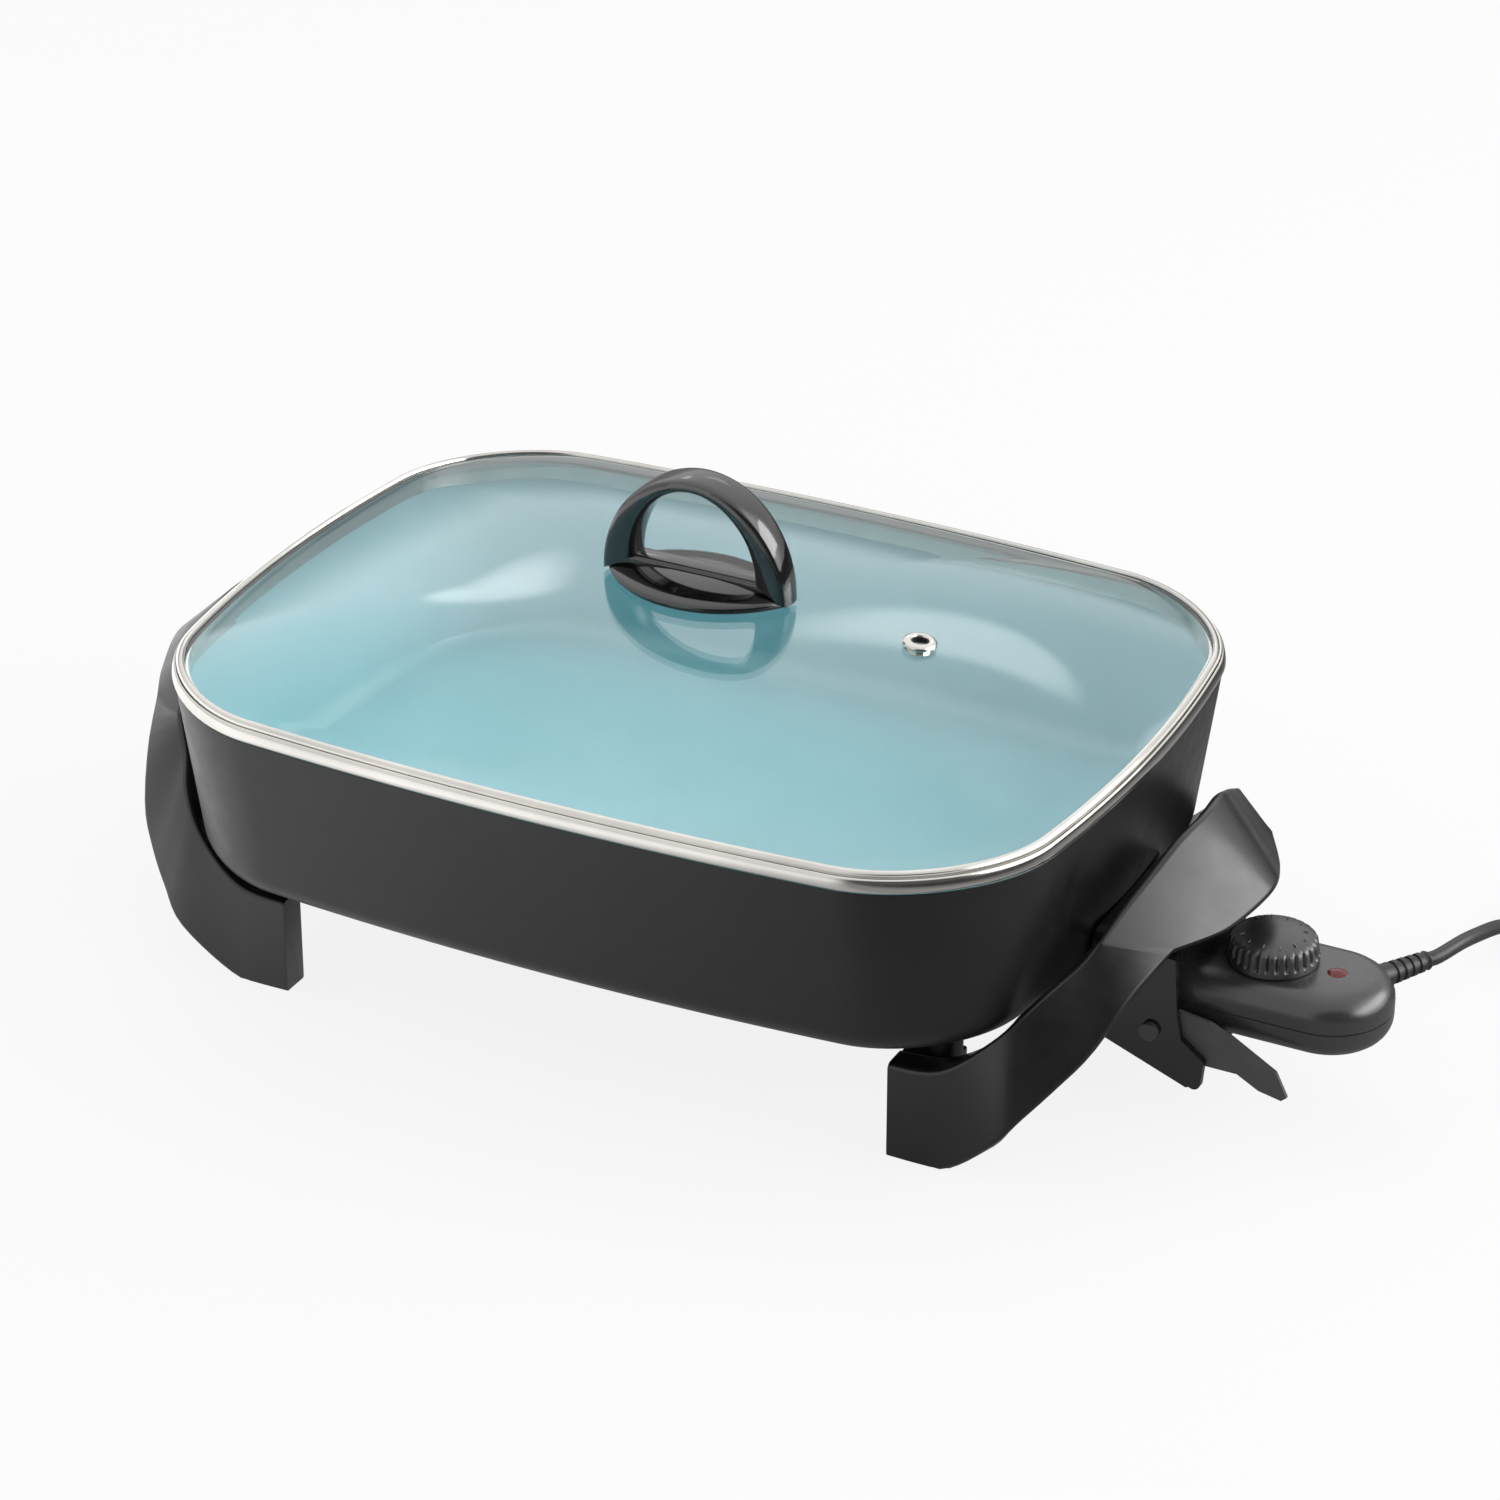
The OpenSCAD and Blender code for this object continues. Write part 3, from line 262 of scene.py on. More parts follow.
MATERIALS = {
    "enamel": make_enamel(),
    "ceramic": make_ceramic(),
    "glass": make_glass(),
    "lens": make_lens(),
    "steel": surface(
        "polished_steel", (0.60, 0.58, 0.55), (0.68, 0.66, 0.62), (0.08, 0.14), 2500, (0.04, 0.00005), 1.0),
    "plated": surface("plated_screws", grey(0.55), grey(0.66), (0.20, 0.32), 3000, (0.10, 0.00005), 1.0),
    "sheath": surface(
        "element_sheath", (0.10, 0.095, 0.09), (0.17, 0.16, 0.15), (0.40, 0.55), 1500, (0.2, 0.0001), 1.0),
    "porcelain": surface(
        "porcelain", (0.74, 0.71, 0.65), (0.80, 0.78, 0.73), (0.35, 0.5), 900, (0.2, 0.0001)),
    "phenolic": surface(
        "phenolic_satin", grey(0.005), grey(0.007), (0.28, 0.35), 1300, (0.14, 0.0001), shine=0.62),
    "gloss": surface(
        "phenolic_gloss", grey(0.005), grey(0.008), (0.06, 0.10), 500, (0.05, 0.0001), shine=0.95),
    "guard": surface("guard_steel", grey(0.100), grey(0.130), (0.42, 0.52), 1500, (0.3, 0.0001), 0.6),
    # dark silicone for the gasket and the coil tie, also used as painted shade in the rim's seam and in the
    # vent's hole
    "silicone": surface("silicone", grey(0.018), grey(0.025), (0.5, 0.6), 1500, (0.2, 0.0001)),
    "probe": surface(
        "probe_plastic", grey(0.026), grey(0.033), (0.24, 0.31), 1600, (0.15, 0.0001), shine=0.8),
    "dial": surface(
        "dial_plastic", grey(0.018), grey(0.024), (0.30, 0.38), 1600, (0.2, 0.0001), shine=0.9),
    "brass": surface("brass", (0.55, 0.41, 0.16), (0.66, 0.50, 0.22), (0.2, 0.3), 2000, (0.1, 0.0001), 1.0),
    "lamp": surface("lamp_glass", (0.75, 0.45, 0.30), (0.85, 0.55, 0.38), (0.1, 0.2), 900, (0.05, 0.0001)),
    "rubber": surface("cord_rubber", grey(0.018), grey(0.026), (0.38, 0.48), 1400, (0.2, 0.0001)),
    "ink": surface("grey_ink", grey(0.16), grey(0.22), (0.4, 0.5), 2000, (0.1, 0.00005)),
}

# ---------------------------------------------------------------- mesh helpers

SHARP = math.radians(38)


def finish_piece(name, bm, materials, body, replaces=(), sharp=SHARP):
    """Turns a bmesh into a piece that rides on a body, smooth except at its sharp edges."""
    bmesh.ops.remove_doubles(bm, verts=bm.verts, dist=1e-7)
    bmesh.ops.recalc_face_normals(bm, faces=bm.faces)
    for face in bm.faces:
        face.smooth = True
    for edge in bm.edges:
        edge.smooth = not edge.is_manifold or edge.calc_face_angle(0) < sharp
    mesh = bpy.data.meshes.new(name)
    bm.to_mesh(mesh)
    bm.free()
    for material in materials:
        mesh.materials.append(MATERIALS[material])
    piece = bpy.data.objects.new(name, mesh)
    bpy.context.scene.collection.objects.link(piece)
    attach(piece, body)
    if replaces:
        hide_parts(*replaces)
    return piece


def unique(items):
    """The items without repeats, in the order in which they come."""
    return list(dict.fromkeys(items))


def cap(bm, edges):
    """Closes a loop of edges with one face."""
    bmesh.ops.contextual_create(bm, geom=edges)


def loft(bm, rings, caps=(True, True), material=0):
    """Skins rings of points by extruding the first ring through the others; returns the new faces."""
    order = bm.verts.layers.int.get("order") or bm.verts.layers.int.new("order")
    before = set(bm.faces)
    verts = bmesh.ops.create_circle(bm, segments=len(rings[0]), radius=1.0)["verts"]
    for index, vert in enumerate(verts):
        vert[order] = index
        vert.co = rings[0][index]
    edges = unique(edge for vert in verts for edge in vert.link_edges)
    if caps[0]:
        cap(bm, edges)
    for ring in rings[1:]:
        grown = bmesh.ops.extrude_edge_only(bm, edges=edges)["geom"]
        verts = {item for item in grown if isinstance(item, bmesh.types.BMVert)}
        for vert in verts:
            vert.co = ring[vert[order]]
        edges = [item for item in grown if isinstance(item, bmesh.types.BMEdge) and set(item.verts) <= verts]
    if caps[1]:
        cap(bm, edges)
    faces = [face for face in bm.faces if face not in before]
    for face in faces:
        face.material_index = material
    return faces


def spin(bm, profile, axis_point, steps=64, tilt=None, material=0):
    """Turns a profile of (radius, height) in millimetres about a vertical axis, or about a tilted one."""
    before = set(bm.faces)
    verts = [bm.verts.new((r * MM, 0, z * MM)) for r, z in profile]
    edges = [bm.edges.new(pair) for pair in zip(verts, verts[1:])]
    if profile[0] != profile[-1] and profile[0][0] > 0:
        edges.append(bm.edges.new((verts[-1], verts[0])))
    bmesh.ops.spin(
        bm, geom=verts + edges, cent=(0, 0, 0), axis=(0, 0, 1), angle=math.tau, steps=steps, use_merge=True)
    faces = [face for face in bm.faces if face not in before]
    moved = unique(vert for face in faces for vert in face.verts)
    place = Matrix.Translation(axis_point) @ (tilt.to_matrix().to_4x4() if tilt else Matrix())
    bmesh.ops.transform(bm, matrix=place, verts=moved)
    bmesh.ops.remove_doubles(bm, verts=moved, dist=1e-7)
    for face in faces:
        if face.is_valid:
            face.material_index = material
    return faces


def block(bm, low, high, radius=0.5, segments=3, material=0):
    """A box between two corners in millimetres from the pan's middle, with rounded edges."""
    before = set(bm.faces)
    middle = (at(*low) + at(*high)) / 2
    size = at(*high) - at(*low)
    verts = bmesh.ops.create_cube(bm, size=1.0)["verts"]
    bmesh.ops.scale(bm, vec=size, verts=verts)
    bmesh.ops.translate(bm, vec=middle, verts=verts)
    edges = unique(edge for vert in verts for edge in vert.link_edges)
    bmesh.ops.bevel(
        bm, geom=edges, offset=radius * MM, segments=segments, profile=0.5, affect="EDGES", material=-1)
    faces = [face for face in bm.faces if face not in before]
    for face in faces:
        face.material_index = material
    return faces


def along(points, t):
    """The place at t on a smooth curve through the points (numbers or vectors), where t counts its spans."""
    last = len(points) - 1
    k = min(int(t), last - 1)
    a, b, c, d = points[max(k - 1, 0)], points[k], points[k + 1], points[min(k + 2, last)]
    t -= k
    return (b * 2 + (c - a) * t + (a * 2 - b * 5 + c * 4 - d) * t * t + (b * 3 - a - c * 3 + d) * t ** 3) / 2


def smooth_path(points, steps):
    """A smooth curve through the points with the same number of steps in every span."""
    return [along(points, i / steps) for i in range((len(points) - 1) * steps)] + [points[-1]]


def soft_ring(count, power):
    """Points round a circle of radius 1 that is squared by a power below 1, as (across, up)."""
    points = []
    for i in range(count):
        angle = math.tau * i / count
        c, s = math.cos(angle), math.sin(angle)
        points.append((math.copysign(abs(c) ** power, c), math.copysign(abs(s) ** power, s)))
    return points


def dress(node, material):
    """Gives a CAD node its finish."""
    slots = NODES[node].data.materials
    slots.clear()
    slots.append(MATERIALS[material])


# ---------------------------------------------------------------- cord, coil and plug

RELIEF_ANGLE = math.radians(60)
RELIEF_START = Vector((291, 14, 58))
RELIEF_LENGTH = 26.0
RELIEF_WAY = Vector((math.cos(RELIEF_ANGLE), math.sin(RELIEF_ANGLE), 0))
RELIEF_END = RELIEF_START + RELIEF_WAY * RELIEF_LENGTH
SLEEVE_RIBS = 5
SLEEVE_PITCH = 4.0
CORD_R = 3.0
CORD_ROUTE = [
    RELIEF_START + RELIEF_WAY * 4, RELIEF_END - RELIEF_WAY * 8, RELIEF_END, RELIEF_END + RELIEF_WAY * 6,
    *[Vector(p) for p in (
        (311, 58, 57), (313, 74, 53), (313, 90, 47), (312, 105, 40), (310, 120, 31),
        (308, 135, 21), (306, 150, 12), (304, 164, 5))]]
COIL_CENTRE = Vector((338, 178, 0))
COIL_TURNS = 3.25
COIL_STEPS = 40
COIL_OUTER = 34.0
COIL_INNER = 28.0
PLUG_X = 378.0
PLUG_Y = 212.0
PLUG_Z = 9.0
PLUG_RIBS = 4
PLUG_RIB_START = 12.0
PLUG_RIB_Y = 12.4
PLUG_PITCH = 3.2
TAIL_ROUTE = [Vector((x, PLUG_Y, PLUG_Z)) for x in (350, 357, 364, 371, 382)]
TIE_ANGLE = math.radians(-35)
TIE_HALF_WIDTH = 2.5
TIE_INNER = 6.15
TIE_OUTER = 6.75
# How far the tie goes up from the middle of the coil, and down to the table
TIE_ABOVE = 6.4
TIE_BELOW = 2 * CORD_R


def ease(t, start, end):
    """Goes softly from 0 to 1 as t goes from start to end."""
    share = min(max((t - start) / (end - start), 0), 1)
    return share * share * (3 - 2 * share)


def coil_point(t):
    """The cord in its coil after t turns: out, in, up onto the first layer and out again."""
    radius = COIL_OUTER - (COIL_OUTER - COIL_INNER) * (ease(t, 0.75, 1.0) - ease(t, 2.35, 2.6))
    height = CORD_R * (1 + 2 * ease(t, 1.5, 1.75))
    angle = math.pi - t * math.tau
    return COIL_CENTRE + Vector((radius * math.cos(angle), radius * math.sin(angle), height))


def make_cord():
    """The cord as one curve from the sleeve through the coil to the plug, and its length in metres."""
    points = smooth_path(CORD_ROUTE + [coil_point(0)], 4)[:-1]
    count = round(COIL_TURNS * COIL_STEPS)
    points += [coil_point(COIL_TURNS * i / count) for i in range(count)]
    points += smooth_path([coil_point(COIL_TURNS)] + TAIL_ROUTE, 3)
    curve = bpy.data.curves.new("power_lead", "CURVE")
    curve.dimensions = "3D"
    curve.bevel_depth = CORD_R * MM
    curve.bevel_resolution = 5
    curve.use_fill_caps = True
    spline = curve.splines.new("POLY")
    spline.points.add(len(points) - 1)
    for target, point in zip(spline.points, points):
        target.co = (*at(*point), 1)
    curve.materials.append(MATERIALS["rubber"])
    cord = bpy.data.objects.new("power_lead", curve)
    bpy.context.scene.collection.objects.link(cord)
    length = sum((b - a).length for a, b in zip(points, points[1:])) * MM
    return cord, length


def make_relief():
    """Ribbed rubber sleeve that tapers along the cord."""
    bm = bmesh.new()
    profile = [(CORD_R - 0.4, 0.0), (4.9, 0.0), (4.9, 4.0)]
    for i in range(SLEEVE_RIBS):
        start = 5.5 + i * SLEEVE_PITCH
        outer = 4.85 - 0.18 * i
        groove = outer - 0.9
        profile += [(outer, start - 0.9), (outer, start + 1.1), (groove, start + 1.5), (groove, start + 2.7)]
    profile += [(4.0, 25.3), (3.7, RELIEF_LENGTH), (CORD_R - 0.4, RELIEF_LENGTH)]
    turn = Vector((0, 0, 1)).rotation_difference(RELIEF_WAY)
    spin(bm, profile, at(*RELIEF_START), 40, turn)
    return finish_piece("cord_sleeve", bm, ["rubber"], "probe", ["strain_relief"])


def make_plug():
    """Two-blade plug with a waisted, ribbed grip, lying flat beside the coil."""
    bm = bmesh.new()
    # distance from the cord's end, half the width and half the height of each section
    stations = [(0.0, 5.5, 6.0), (2.0, 6.6, 6.6), (8.0, 9.0, 7.6), (13.0, 12.6, 8.3), (19.0, 13.1, 8.8),
                (26.0, 13.3, 8.95), (30.5, 13.3, 8.95), (32.0, 12.4, 8.2)]
    loft(bm, [
        [at(PLUG_X + x, PLUG_Y + across * half_width, PLUG_Z + up * half_height)
         for across, up in soft_ring(32, 0.55)]
        for x, half_width, half_height in stations])
    for side in (-1, 1):
        for i in range(PLUG_RIBS):
            start = PLUG_X + PLUG_RIB_START + i * PLUG_PITCH
            middle = PLUG_Y + side * PLUG_RIB_Y
            block(bm, (start, middle - 0.8, PLUG_Z - 4), (start + 1.4, middle + 0.8, PLUG_Z + 4), 0.35)
    return finish_piece("plug_grip", bm, ["rubber"], "probe", ["plug_body"])


def make_tie():
    """Rubber band that holds the coil together."""
    bm = bmesh.new()
    across = Vector((math.cos(TIE_ANGLE), math.sin(TIE_ANGLE), 0))
    way = Vector((-math.sin(TIE_ANGLE), math.cos(TIE_ANGLE), 0))
    middle = COIL_CENTRE + across * (COIL_OUTER + COIL_INNER) / 2 + Vector((0, 0, 2 * CORD_R))
    rings = []
    for side, grow in ((-1, TIE_INNER), (-1, TIE_OUTER), (1, TIE_OUTER), (1, TIE_INNER)):
        start = middle + way * side * TIE_HALF_WIDTH
        ring = []
        for u, v in soft_ring(40, 0.6):
            height = v * min(grow, TIE_ABOVE if v > 0 else TIE_BELOW)
            ring.append(at(*(start + across * u * grow + Vector((0, 0, height)))))
        rings.append(ring)
    loft(bm, rings + [rings[0]], (False, False))
    return finish_piece("coil_tie", bm, ["silicone"], "probe")


cord, cord_length = make_cord()
sleeve = make_relief()
plug = make_plug()
tie = make_tie()
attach(cord, "probe")
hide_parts("power_cord", "cord_coil", "cord_tail")

# ---------------------------------------------------------------- the pan's bowed outline

CORNER_STEPS = 20
SIDE_STEPS = 24


def outline(inset):
    """The pan's outline moved inwards, counter-clockwise from above, as (x, y) in millimetres."""
    hx, hy, r = PAN_HALF_LENGTH - inset, PAN_HALF_WIDTH - inset, PAN_CORNER - inset
    corners = []
    for q, (sx, sy) in enumerate(((1, 1), (-1, 1), (-1, -1), (1, -1))):
        angles = [math.radians(90 * q + 90 * i / CORNER_STEPS) for i in range(CORNER_STEPS + 1)]
        corners.append([(sx * (hx - r) + r * math.cos(a), sy * (hy - r) + r * math.sin(a)) for a in angles])
    points = []
    for corner, following in zip(corners, corners[1:] + corners[:1]):
        (x0, y0), (x1, y1) = corner[-1], following[0]
        shares = [i / SIDE_STEPS for i in range(1, SIDE_STEPS)]
        points += corner + [(x0 + (x1 - x0) * share, y0 + (y1 - y0) * share) for share in shares]
    end_bow, side_bow = END_BOW / PAN_HALF_LENGTH, SIDE_BOW / PAN_HALF_WIDTH
    return [(x * (1 - end_bow * (y / hy) ** 2), y * (1 - side_bow * (x / hx) ** 2)) for x, y in points]


def outline_ring(inset, z):
    """The outline, moved inwards, at a height."""
    return [at(x, y, z) for x, y in outline(inset)]


def foot_arc(inset, z, radius, steps=10):
    """Rounded edge where the leaning wall, moved inwards, meets a floor at height z."""
    zc = z + radius
    dc = radius * math.cos(LEAN) + (MOUTH_Z - zc + radius * math.sin(LEAN)) * math.tan(LEAN) + inset
    arc = []
    for i in range(steps + 1):
        a = LEAN + (math.pi / 2 - LEAN) * i / steps
        arc.append((dc - radius * math.cos(a), zc - radius * math.sin(a)))
    return arc


def make_pan():
    """Cast pan: enamel outside, turquoise ceramic inside and over the lip."""
    bm = bmesh.new()
    outer = list(reversed(foot_arc(0, UNDERSIDE_Z, FLOOR_RADIUS)))
    outer += [(0, MOUTH_Z - LIP_ROUND)]
    rounded = [
        (LIP_ROUND * (1 - math.cos(a)), MOUTH_Z - LIP_ROUND * (1 - math.sin(a)))
        for a in (0.4, 0.8, 1.2, math.pi / 2)]
    inner = [(LIP_WIDTH - LIP_ROUND, MOUTH_Z)]
    inner += [
        (LIP_WIDTH - LIP_ROUND * (1 - math.sin(a)), MOUTH_Z - LIP_ROUND * (1 - math.cos(a)))
        for a in (0.5, 1.0, 1.5)]
    thick = WALL / math.cos(LEAN)
    inner += [(LIP_WIDTH, MOUTH_Z - LIP_DEPTH)]
    inner += [(thick + 2 * LIP_DEPTH * math.tan(LEAN), MOUTH_Z - 2 * LIP_DEPTH)]
    inner += foot_arc(thick, FLOOR_Z, FLOOR_RADIUS - WALL)
    loft(bm, [outline_ring(d, z) for d, z in outer + rounded[:2]], (True, False), 0)
    loft(bm, [outline_ring(d, z) for d, z in rounded[1:] + inner], (False, True), 1)
    return finish_piece("pan_shell", bm, ["enamel", "ceramic"], "skillet", ["pan"])


# Point of the rim's profile where the seam starts; the seam's groove has the dark finish as painted shade
SEAM_START = 10


def make_rim():
    """Polished rim: a rolled outer band, a seam groove painted dark as shade, and a sloping lip that ends in
    a bead on the glass.
    """
    bm = bmesh.new()
    profile = [
        (-0.2, RIM_BOTTOM), (-0.75, RIM_BOTTOM + 0.4), (-1.0, RIM_BOTTOM + 1.2), (-0.93, RIM_BOTTOM + 2.1),
        (-0.7, RIM_BOTTOM + 3.2), (-0.45, RIM_BOTTOM + 4.3), (-0.2, RIM_CREASE - 0.6),
        (0.1, RIM_CREASE - 0.15), (0.5, RIM_CREASE), (0.8, RIM_CREASE - 0.25),
        (0.85, RIM_CREASE - 1.1), (1.35, RIM_CREASE - 1.1),
        (1.45, RIM_CREASE + 0.6), (1.8, RIM_CREASE + 1.3), (2.3, RIM_CREASE + 1.85), (2.9, RIM_CREASE + 2.25),
        (3.5, RIM_CREASE + 2.35), (3.95, RIM_CREASE + 2.1), (4.25, RIM_CREASE + 1.6),
        (4.4, GLASS_Z + GLASS_THICKNESS + 0.1),
        (1.0, GLASS_Z + GLASS_THICKNESS + 0.1), (1.0, GLASS_Z - 0.1), (6.3, GLASS_Z - 0.1),
        (6.3, MOUTH_Z - 5), (5.5, MOUTH_Z - 5), (5.5, RIM_BOTTOM)]
    rings = [outline_ring(d, z) for d, z in profile]
    loft(bm, rings[:SEAM_START + 1], (False, False), 0)
    # the seam's groove gets the dark finish: painted shade in the groove
    loft(bm, rings[SEAM_START:SEAM_START + 3], (False, False), 1)
    loft(bm, rings[SEAM_START + 2:] + [rings[0]], (False, False), 0)
    return finish_piece("lid_band", bm, ["steel", "silicone"], "lid", ["lid_rim"])


# Where the dome starts and how far the ground edge runs into the rim, measured inwards from the pan's outline
DOME_EDGE = 5.0
GLASS_EDGE = 1.2
DOME_STEPS = 26
DOME_MIDDLE = 0.03


def dome(share):
    """How high the glass is crowned at a share of the way from its middle to its edge."""
    return DOME_RISE * (1 - share ** 3)


def dome_ring(share, z):
    """The dome's outline, shrunk to a share and lifted by the crown."""
    return [at(x * share, y * share, z + dome(share)) for x, y in outline(DOME_EDGE)]


def make_glass_lid():
    """Domed glass with a ground edge, held in the rim."""
    bm = bmesh.new()
    shares = [DOME_MIDDLE + (1 - DOME_MIDDLE) * (i / DOME_STEPS) for i in range(DOME_STEPS + 1)]
    top = GLASS_Z + GLASS_THICKNESS
    under = [dome_ring(share, GLASS_Z) for share in shares]
    over = [dome_ring(share, top) for share in reversed(shares)]
    loft(bm, under + [outline_ring(GLASS_EDGE, GLASS_Z), outline_ring(GLASS_EDGE, top)] + over)
    return finish_piece("glass_dome", bm, ["glass"], "lid", ["lid_glass"], math.radians(50))


make_pan()
make_rim()
make_glass_lid()

# ---------------------------------------------------------------- handles

FOOT_X = 137.0
FOOT_Y = 107.0
FOOT_Z = 42.0
GRIP_INNER_X = 221.5
GRIP_INNER_Z = 122.0
GRIP_OUTER_X = 252.0
GRIP_OUTER_Z = 94.0
GRIP_DEPTH = 6.0
FOOT_DEPTH = 13.0
SOLE_CUT = 1.0
# Shares of the way from the foot to the middle of the grip: inner edge out, across and up, outer edge out,
# across and up, and how much of the foot's extra depth is left
ARCH = [
    (0.00, 1.00, 0.00, 0.00, 1.00, 0.00, 1.00), (0.26, 1.00, 0.04, 0.20, 1.00, 0.00, 1.00),
    (0.51, 0.95, 0.26, 0.41, 1.05, 0.23, 0.60), (0.65, 0.86, 0.43, 0.51, 1.00, 0.37, 0.25),
    (0.75, 0.73, 0.55, 0.60, 0.93, 0.50, 0.00), (0.82, 0.63, 0.65, 0.68, 0.84, 0.63, 0.00),
    (0.88, 0.51, 0.78, 0.76, 0.67, 0.82, 0.00), (0.93, 0.36, 0.88, 0.83, 0.47, 0.95, 0.00),
    (0.98, 0.19, 0.98, 0.94, 0.25, 0.95, 0.00), (1.00, 0.00, 1.00, 1.00, 0.00, 1.00, 0.00)]
# Where the sections of the leg and of the leaf run, as row numbers on the inner and the outer edge.
# Leg and leaf meet in a fold.
LEG = ((0, 0), (1, 1), (2, 2), (3, 3.4), (4, 5.1), (5, 7))
LEAF = ((5, 7), (6, 7.6), (7, 8.1), (8, 8.6), (9, 9))
FOLD_OUT = Vector((1.6, -3.1, 1.9))
FOLD_SHARP = math.radians(20)
ARCH_STEPS = 6
BAND_EDGE = 2.4
BAND_EDGE_STEPS = 6
END_SHARP = math.radians(70)
# The flange that is screwed to the pan's casting
FLANGE_X = (137.4, 159.0)
FLANGE_Y = (80.5, 95.5)
FLANGE_Z = (37.0, 42.0)


def arch_inner(row):
    """The inner edge of the front half at a row of the arch."""
    out, across, up = row[:3]
    return Vector((
        FOOT_X + out * (GRIP_INNER_X - FOOT_X), -FOOT_Y * across, FOOT_Z + up * (GRIP_INNER_Z - FOOT_Z)))


def arch_outer(row):
    """The outer edge of the front half at a row of the arch; its foot starts below the table."""
    out, across, up = row[3:6]
    return Vector((
        FOOT_X + out * (GRIP_OUTER_X - FOOT_X), -FOOT_Y * across, up * (GRIP_OUTER_Z + SOLE_CUT) - SOLE_CUT))


def mirrored(half):
    """A front half and the rear half that mirrors it."""
    return half + [Vector((p.x, -p.y, p.z)) for p in reversed(half[:-1])]


def band_section(width, depth, edge):
    """Corner points of the band's section, as (along its width, into its depth)."""
    corners = ((0, 0, 180, 270), (0, depth, 90, 180), (width, depth, 0, 90), (width, 0, 270, 360))
    points = []
    for u, v, start, end in corners:
        cu = u + (edge if u == 0 else -edge)
        cv = v + (edge if v == 0 else -edge)
        for i in range(BAND_EDGE_STEPS + 1):
            a = math.radians(end + (start - end) * i / BAND_EDGE_STEPS)
            points.append((cu + edge * math.cos(a), cv + edge * math.sin(a)))
    return points


def handle_sections():
    """Inner point, outer point and depth of each section of the front half, from the foot to the middle."""
    half_in = [arch_inner(row) for row in ARCH]
    half_out = [arch_outer(row) for row in ARCH]
    fold_in, fold_out = LEAF[0]
    half_in[fold_in] += FOLD_OUT
    spans = (
        (LEG, half_in[:fold_in + 1], half_out[:fold_out + 1]),
        (LEAF, mirrored(half_in[fold_in:]), mirrored(half_out[fold_out:])))
    extra = [row[6] for row in ARCH]
    sections = []
    for rows, edge_in, edge_out in spans:
        for pair in smooth_path([Vector(row) for row in rows], ARCH_STEPS)[1 if sections else 0:]:
            sections.append((
                along(edge_in, pair.x - rows[0][0]), along(edge_out, pair.y - rows[0][1]),
                GRIP_DEPTH + along(extra, (pair.x + pair.y) / 2) * (FOOT_DEPTH - GRIP_DEPTH)))
    return sections


def make_handle(side):
    """A flat band that arches from the front foot over the grip to the rear foot."""
    bm = bmesh.new()
    half = handle_sections()
    inner = mirrored([section[0] for section in half])
    outer = mirrored([section[1] for section in half])
    depth = [section[2] for section in half + half[-2::-1]]
    last = len(inner) - 1
    rings = []
    for i in range(last + 1):
        low = outer[i]
        middle = [(inner[k] + outer[k]) / 2 for k in (max(i - 1, 0), min(i + 1, last))]
        way = (middle[1] - middle[0]).normalized()
        up = (inner[i] - low).normalized()
        out = way.cross(up).normalized()
        ring = []
        # what reaches below the table is flattened onto it
        for u, v in band_section((inner[i] - low).length, depth[i], min(BAND_EDGE, depth[i] * 0.45)):
            p = low + up * u - out * v
            ring.append(at(p.x * side, p.y, max(p.z, 0)))
        rings.append(ring)
    loft(bm, rings)
    ends = [edge for edge in bm.edges if edge.is_manifold and edge.calc_face_angle(0) > END_SHARP]
    bmesh.ops.bevel(
        bm, geom=ends, offset=0.8 * MM, segments=3, profile=0.5, affect="EDGES", material=-1,
        clamp_overlap=True)
    for end in (-1, 1):
        xs = sorted(side * x for x in FLANGE_X)
        ys = sorted(end * y for y in FLANGE_Y)
        block(bm, *zip(xs, ys, FLANGE_Z), 0.8)
    name = "right" if side > 0 else "left"
    return finish_piece(
        "grip_" + name, bm, ["phenolic"], "skillet", ["handle_" + name], FOLD_SHARP)


make_handle(1)
make_handle(-1)

# ---------------------------------------------------------------- lid knob and vent

GLASS_CROWN = GLASS_Z + GLASS_THICKNESS + DOME_RISE
KNOB_Z = GLASS_CROWN + 1.0
KNOB_HALF = 42.0
KNOB_HEIGHT = 48.0
BASE_HALF_WIDTH = 25.0
BAR_HEIGHT = 8.6
BAR_HALF = 36.0
EYE_HALF = 27.0
EYE_TOP = 42.5
LEG_HALF_WIDTH = 6.5
TOP_HALF_WIDTH = 8.5
LOOP_STEPS = 56
BASE_ARC = (KNOB_HALF ** 2 + BASE_HALF_WIDTH ** 2) / (2 * BASE_HALF_WIDTH)


def lens_ring(shrink, z, steps=24):
    """Plan of the knob's base: two arcs that meet in blunt points."""
    radius = BASE_ARC - shrink
    offset = BASE_ARC - BASE_HALF_WIDTH
    half = math.acos(offset / radius)
    points = []
    for side in (1, -1):
        for i in range(steps):
            a = side * math.pi / 2 + half - 2 * half * i / steps
            points.append(at(radius * math.cos(a), radius * math.sin(a) - side * offset, z))
    return points


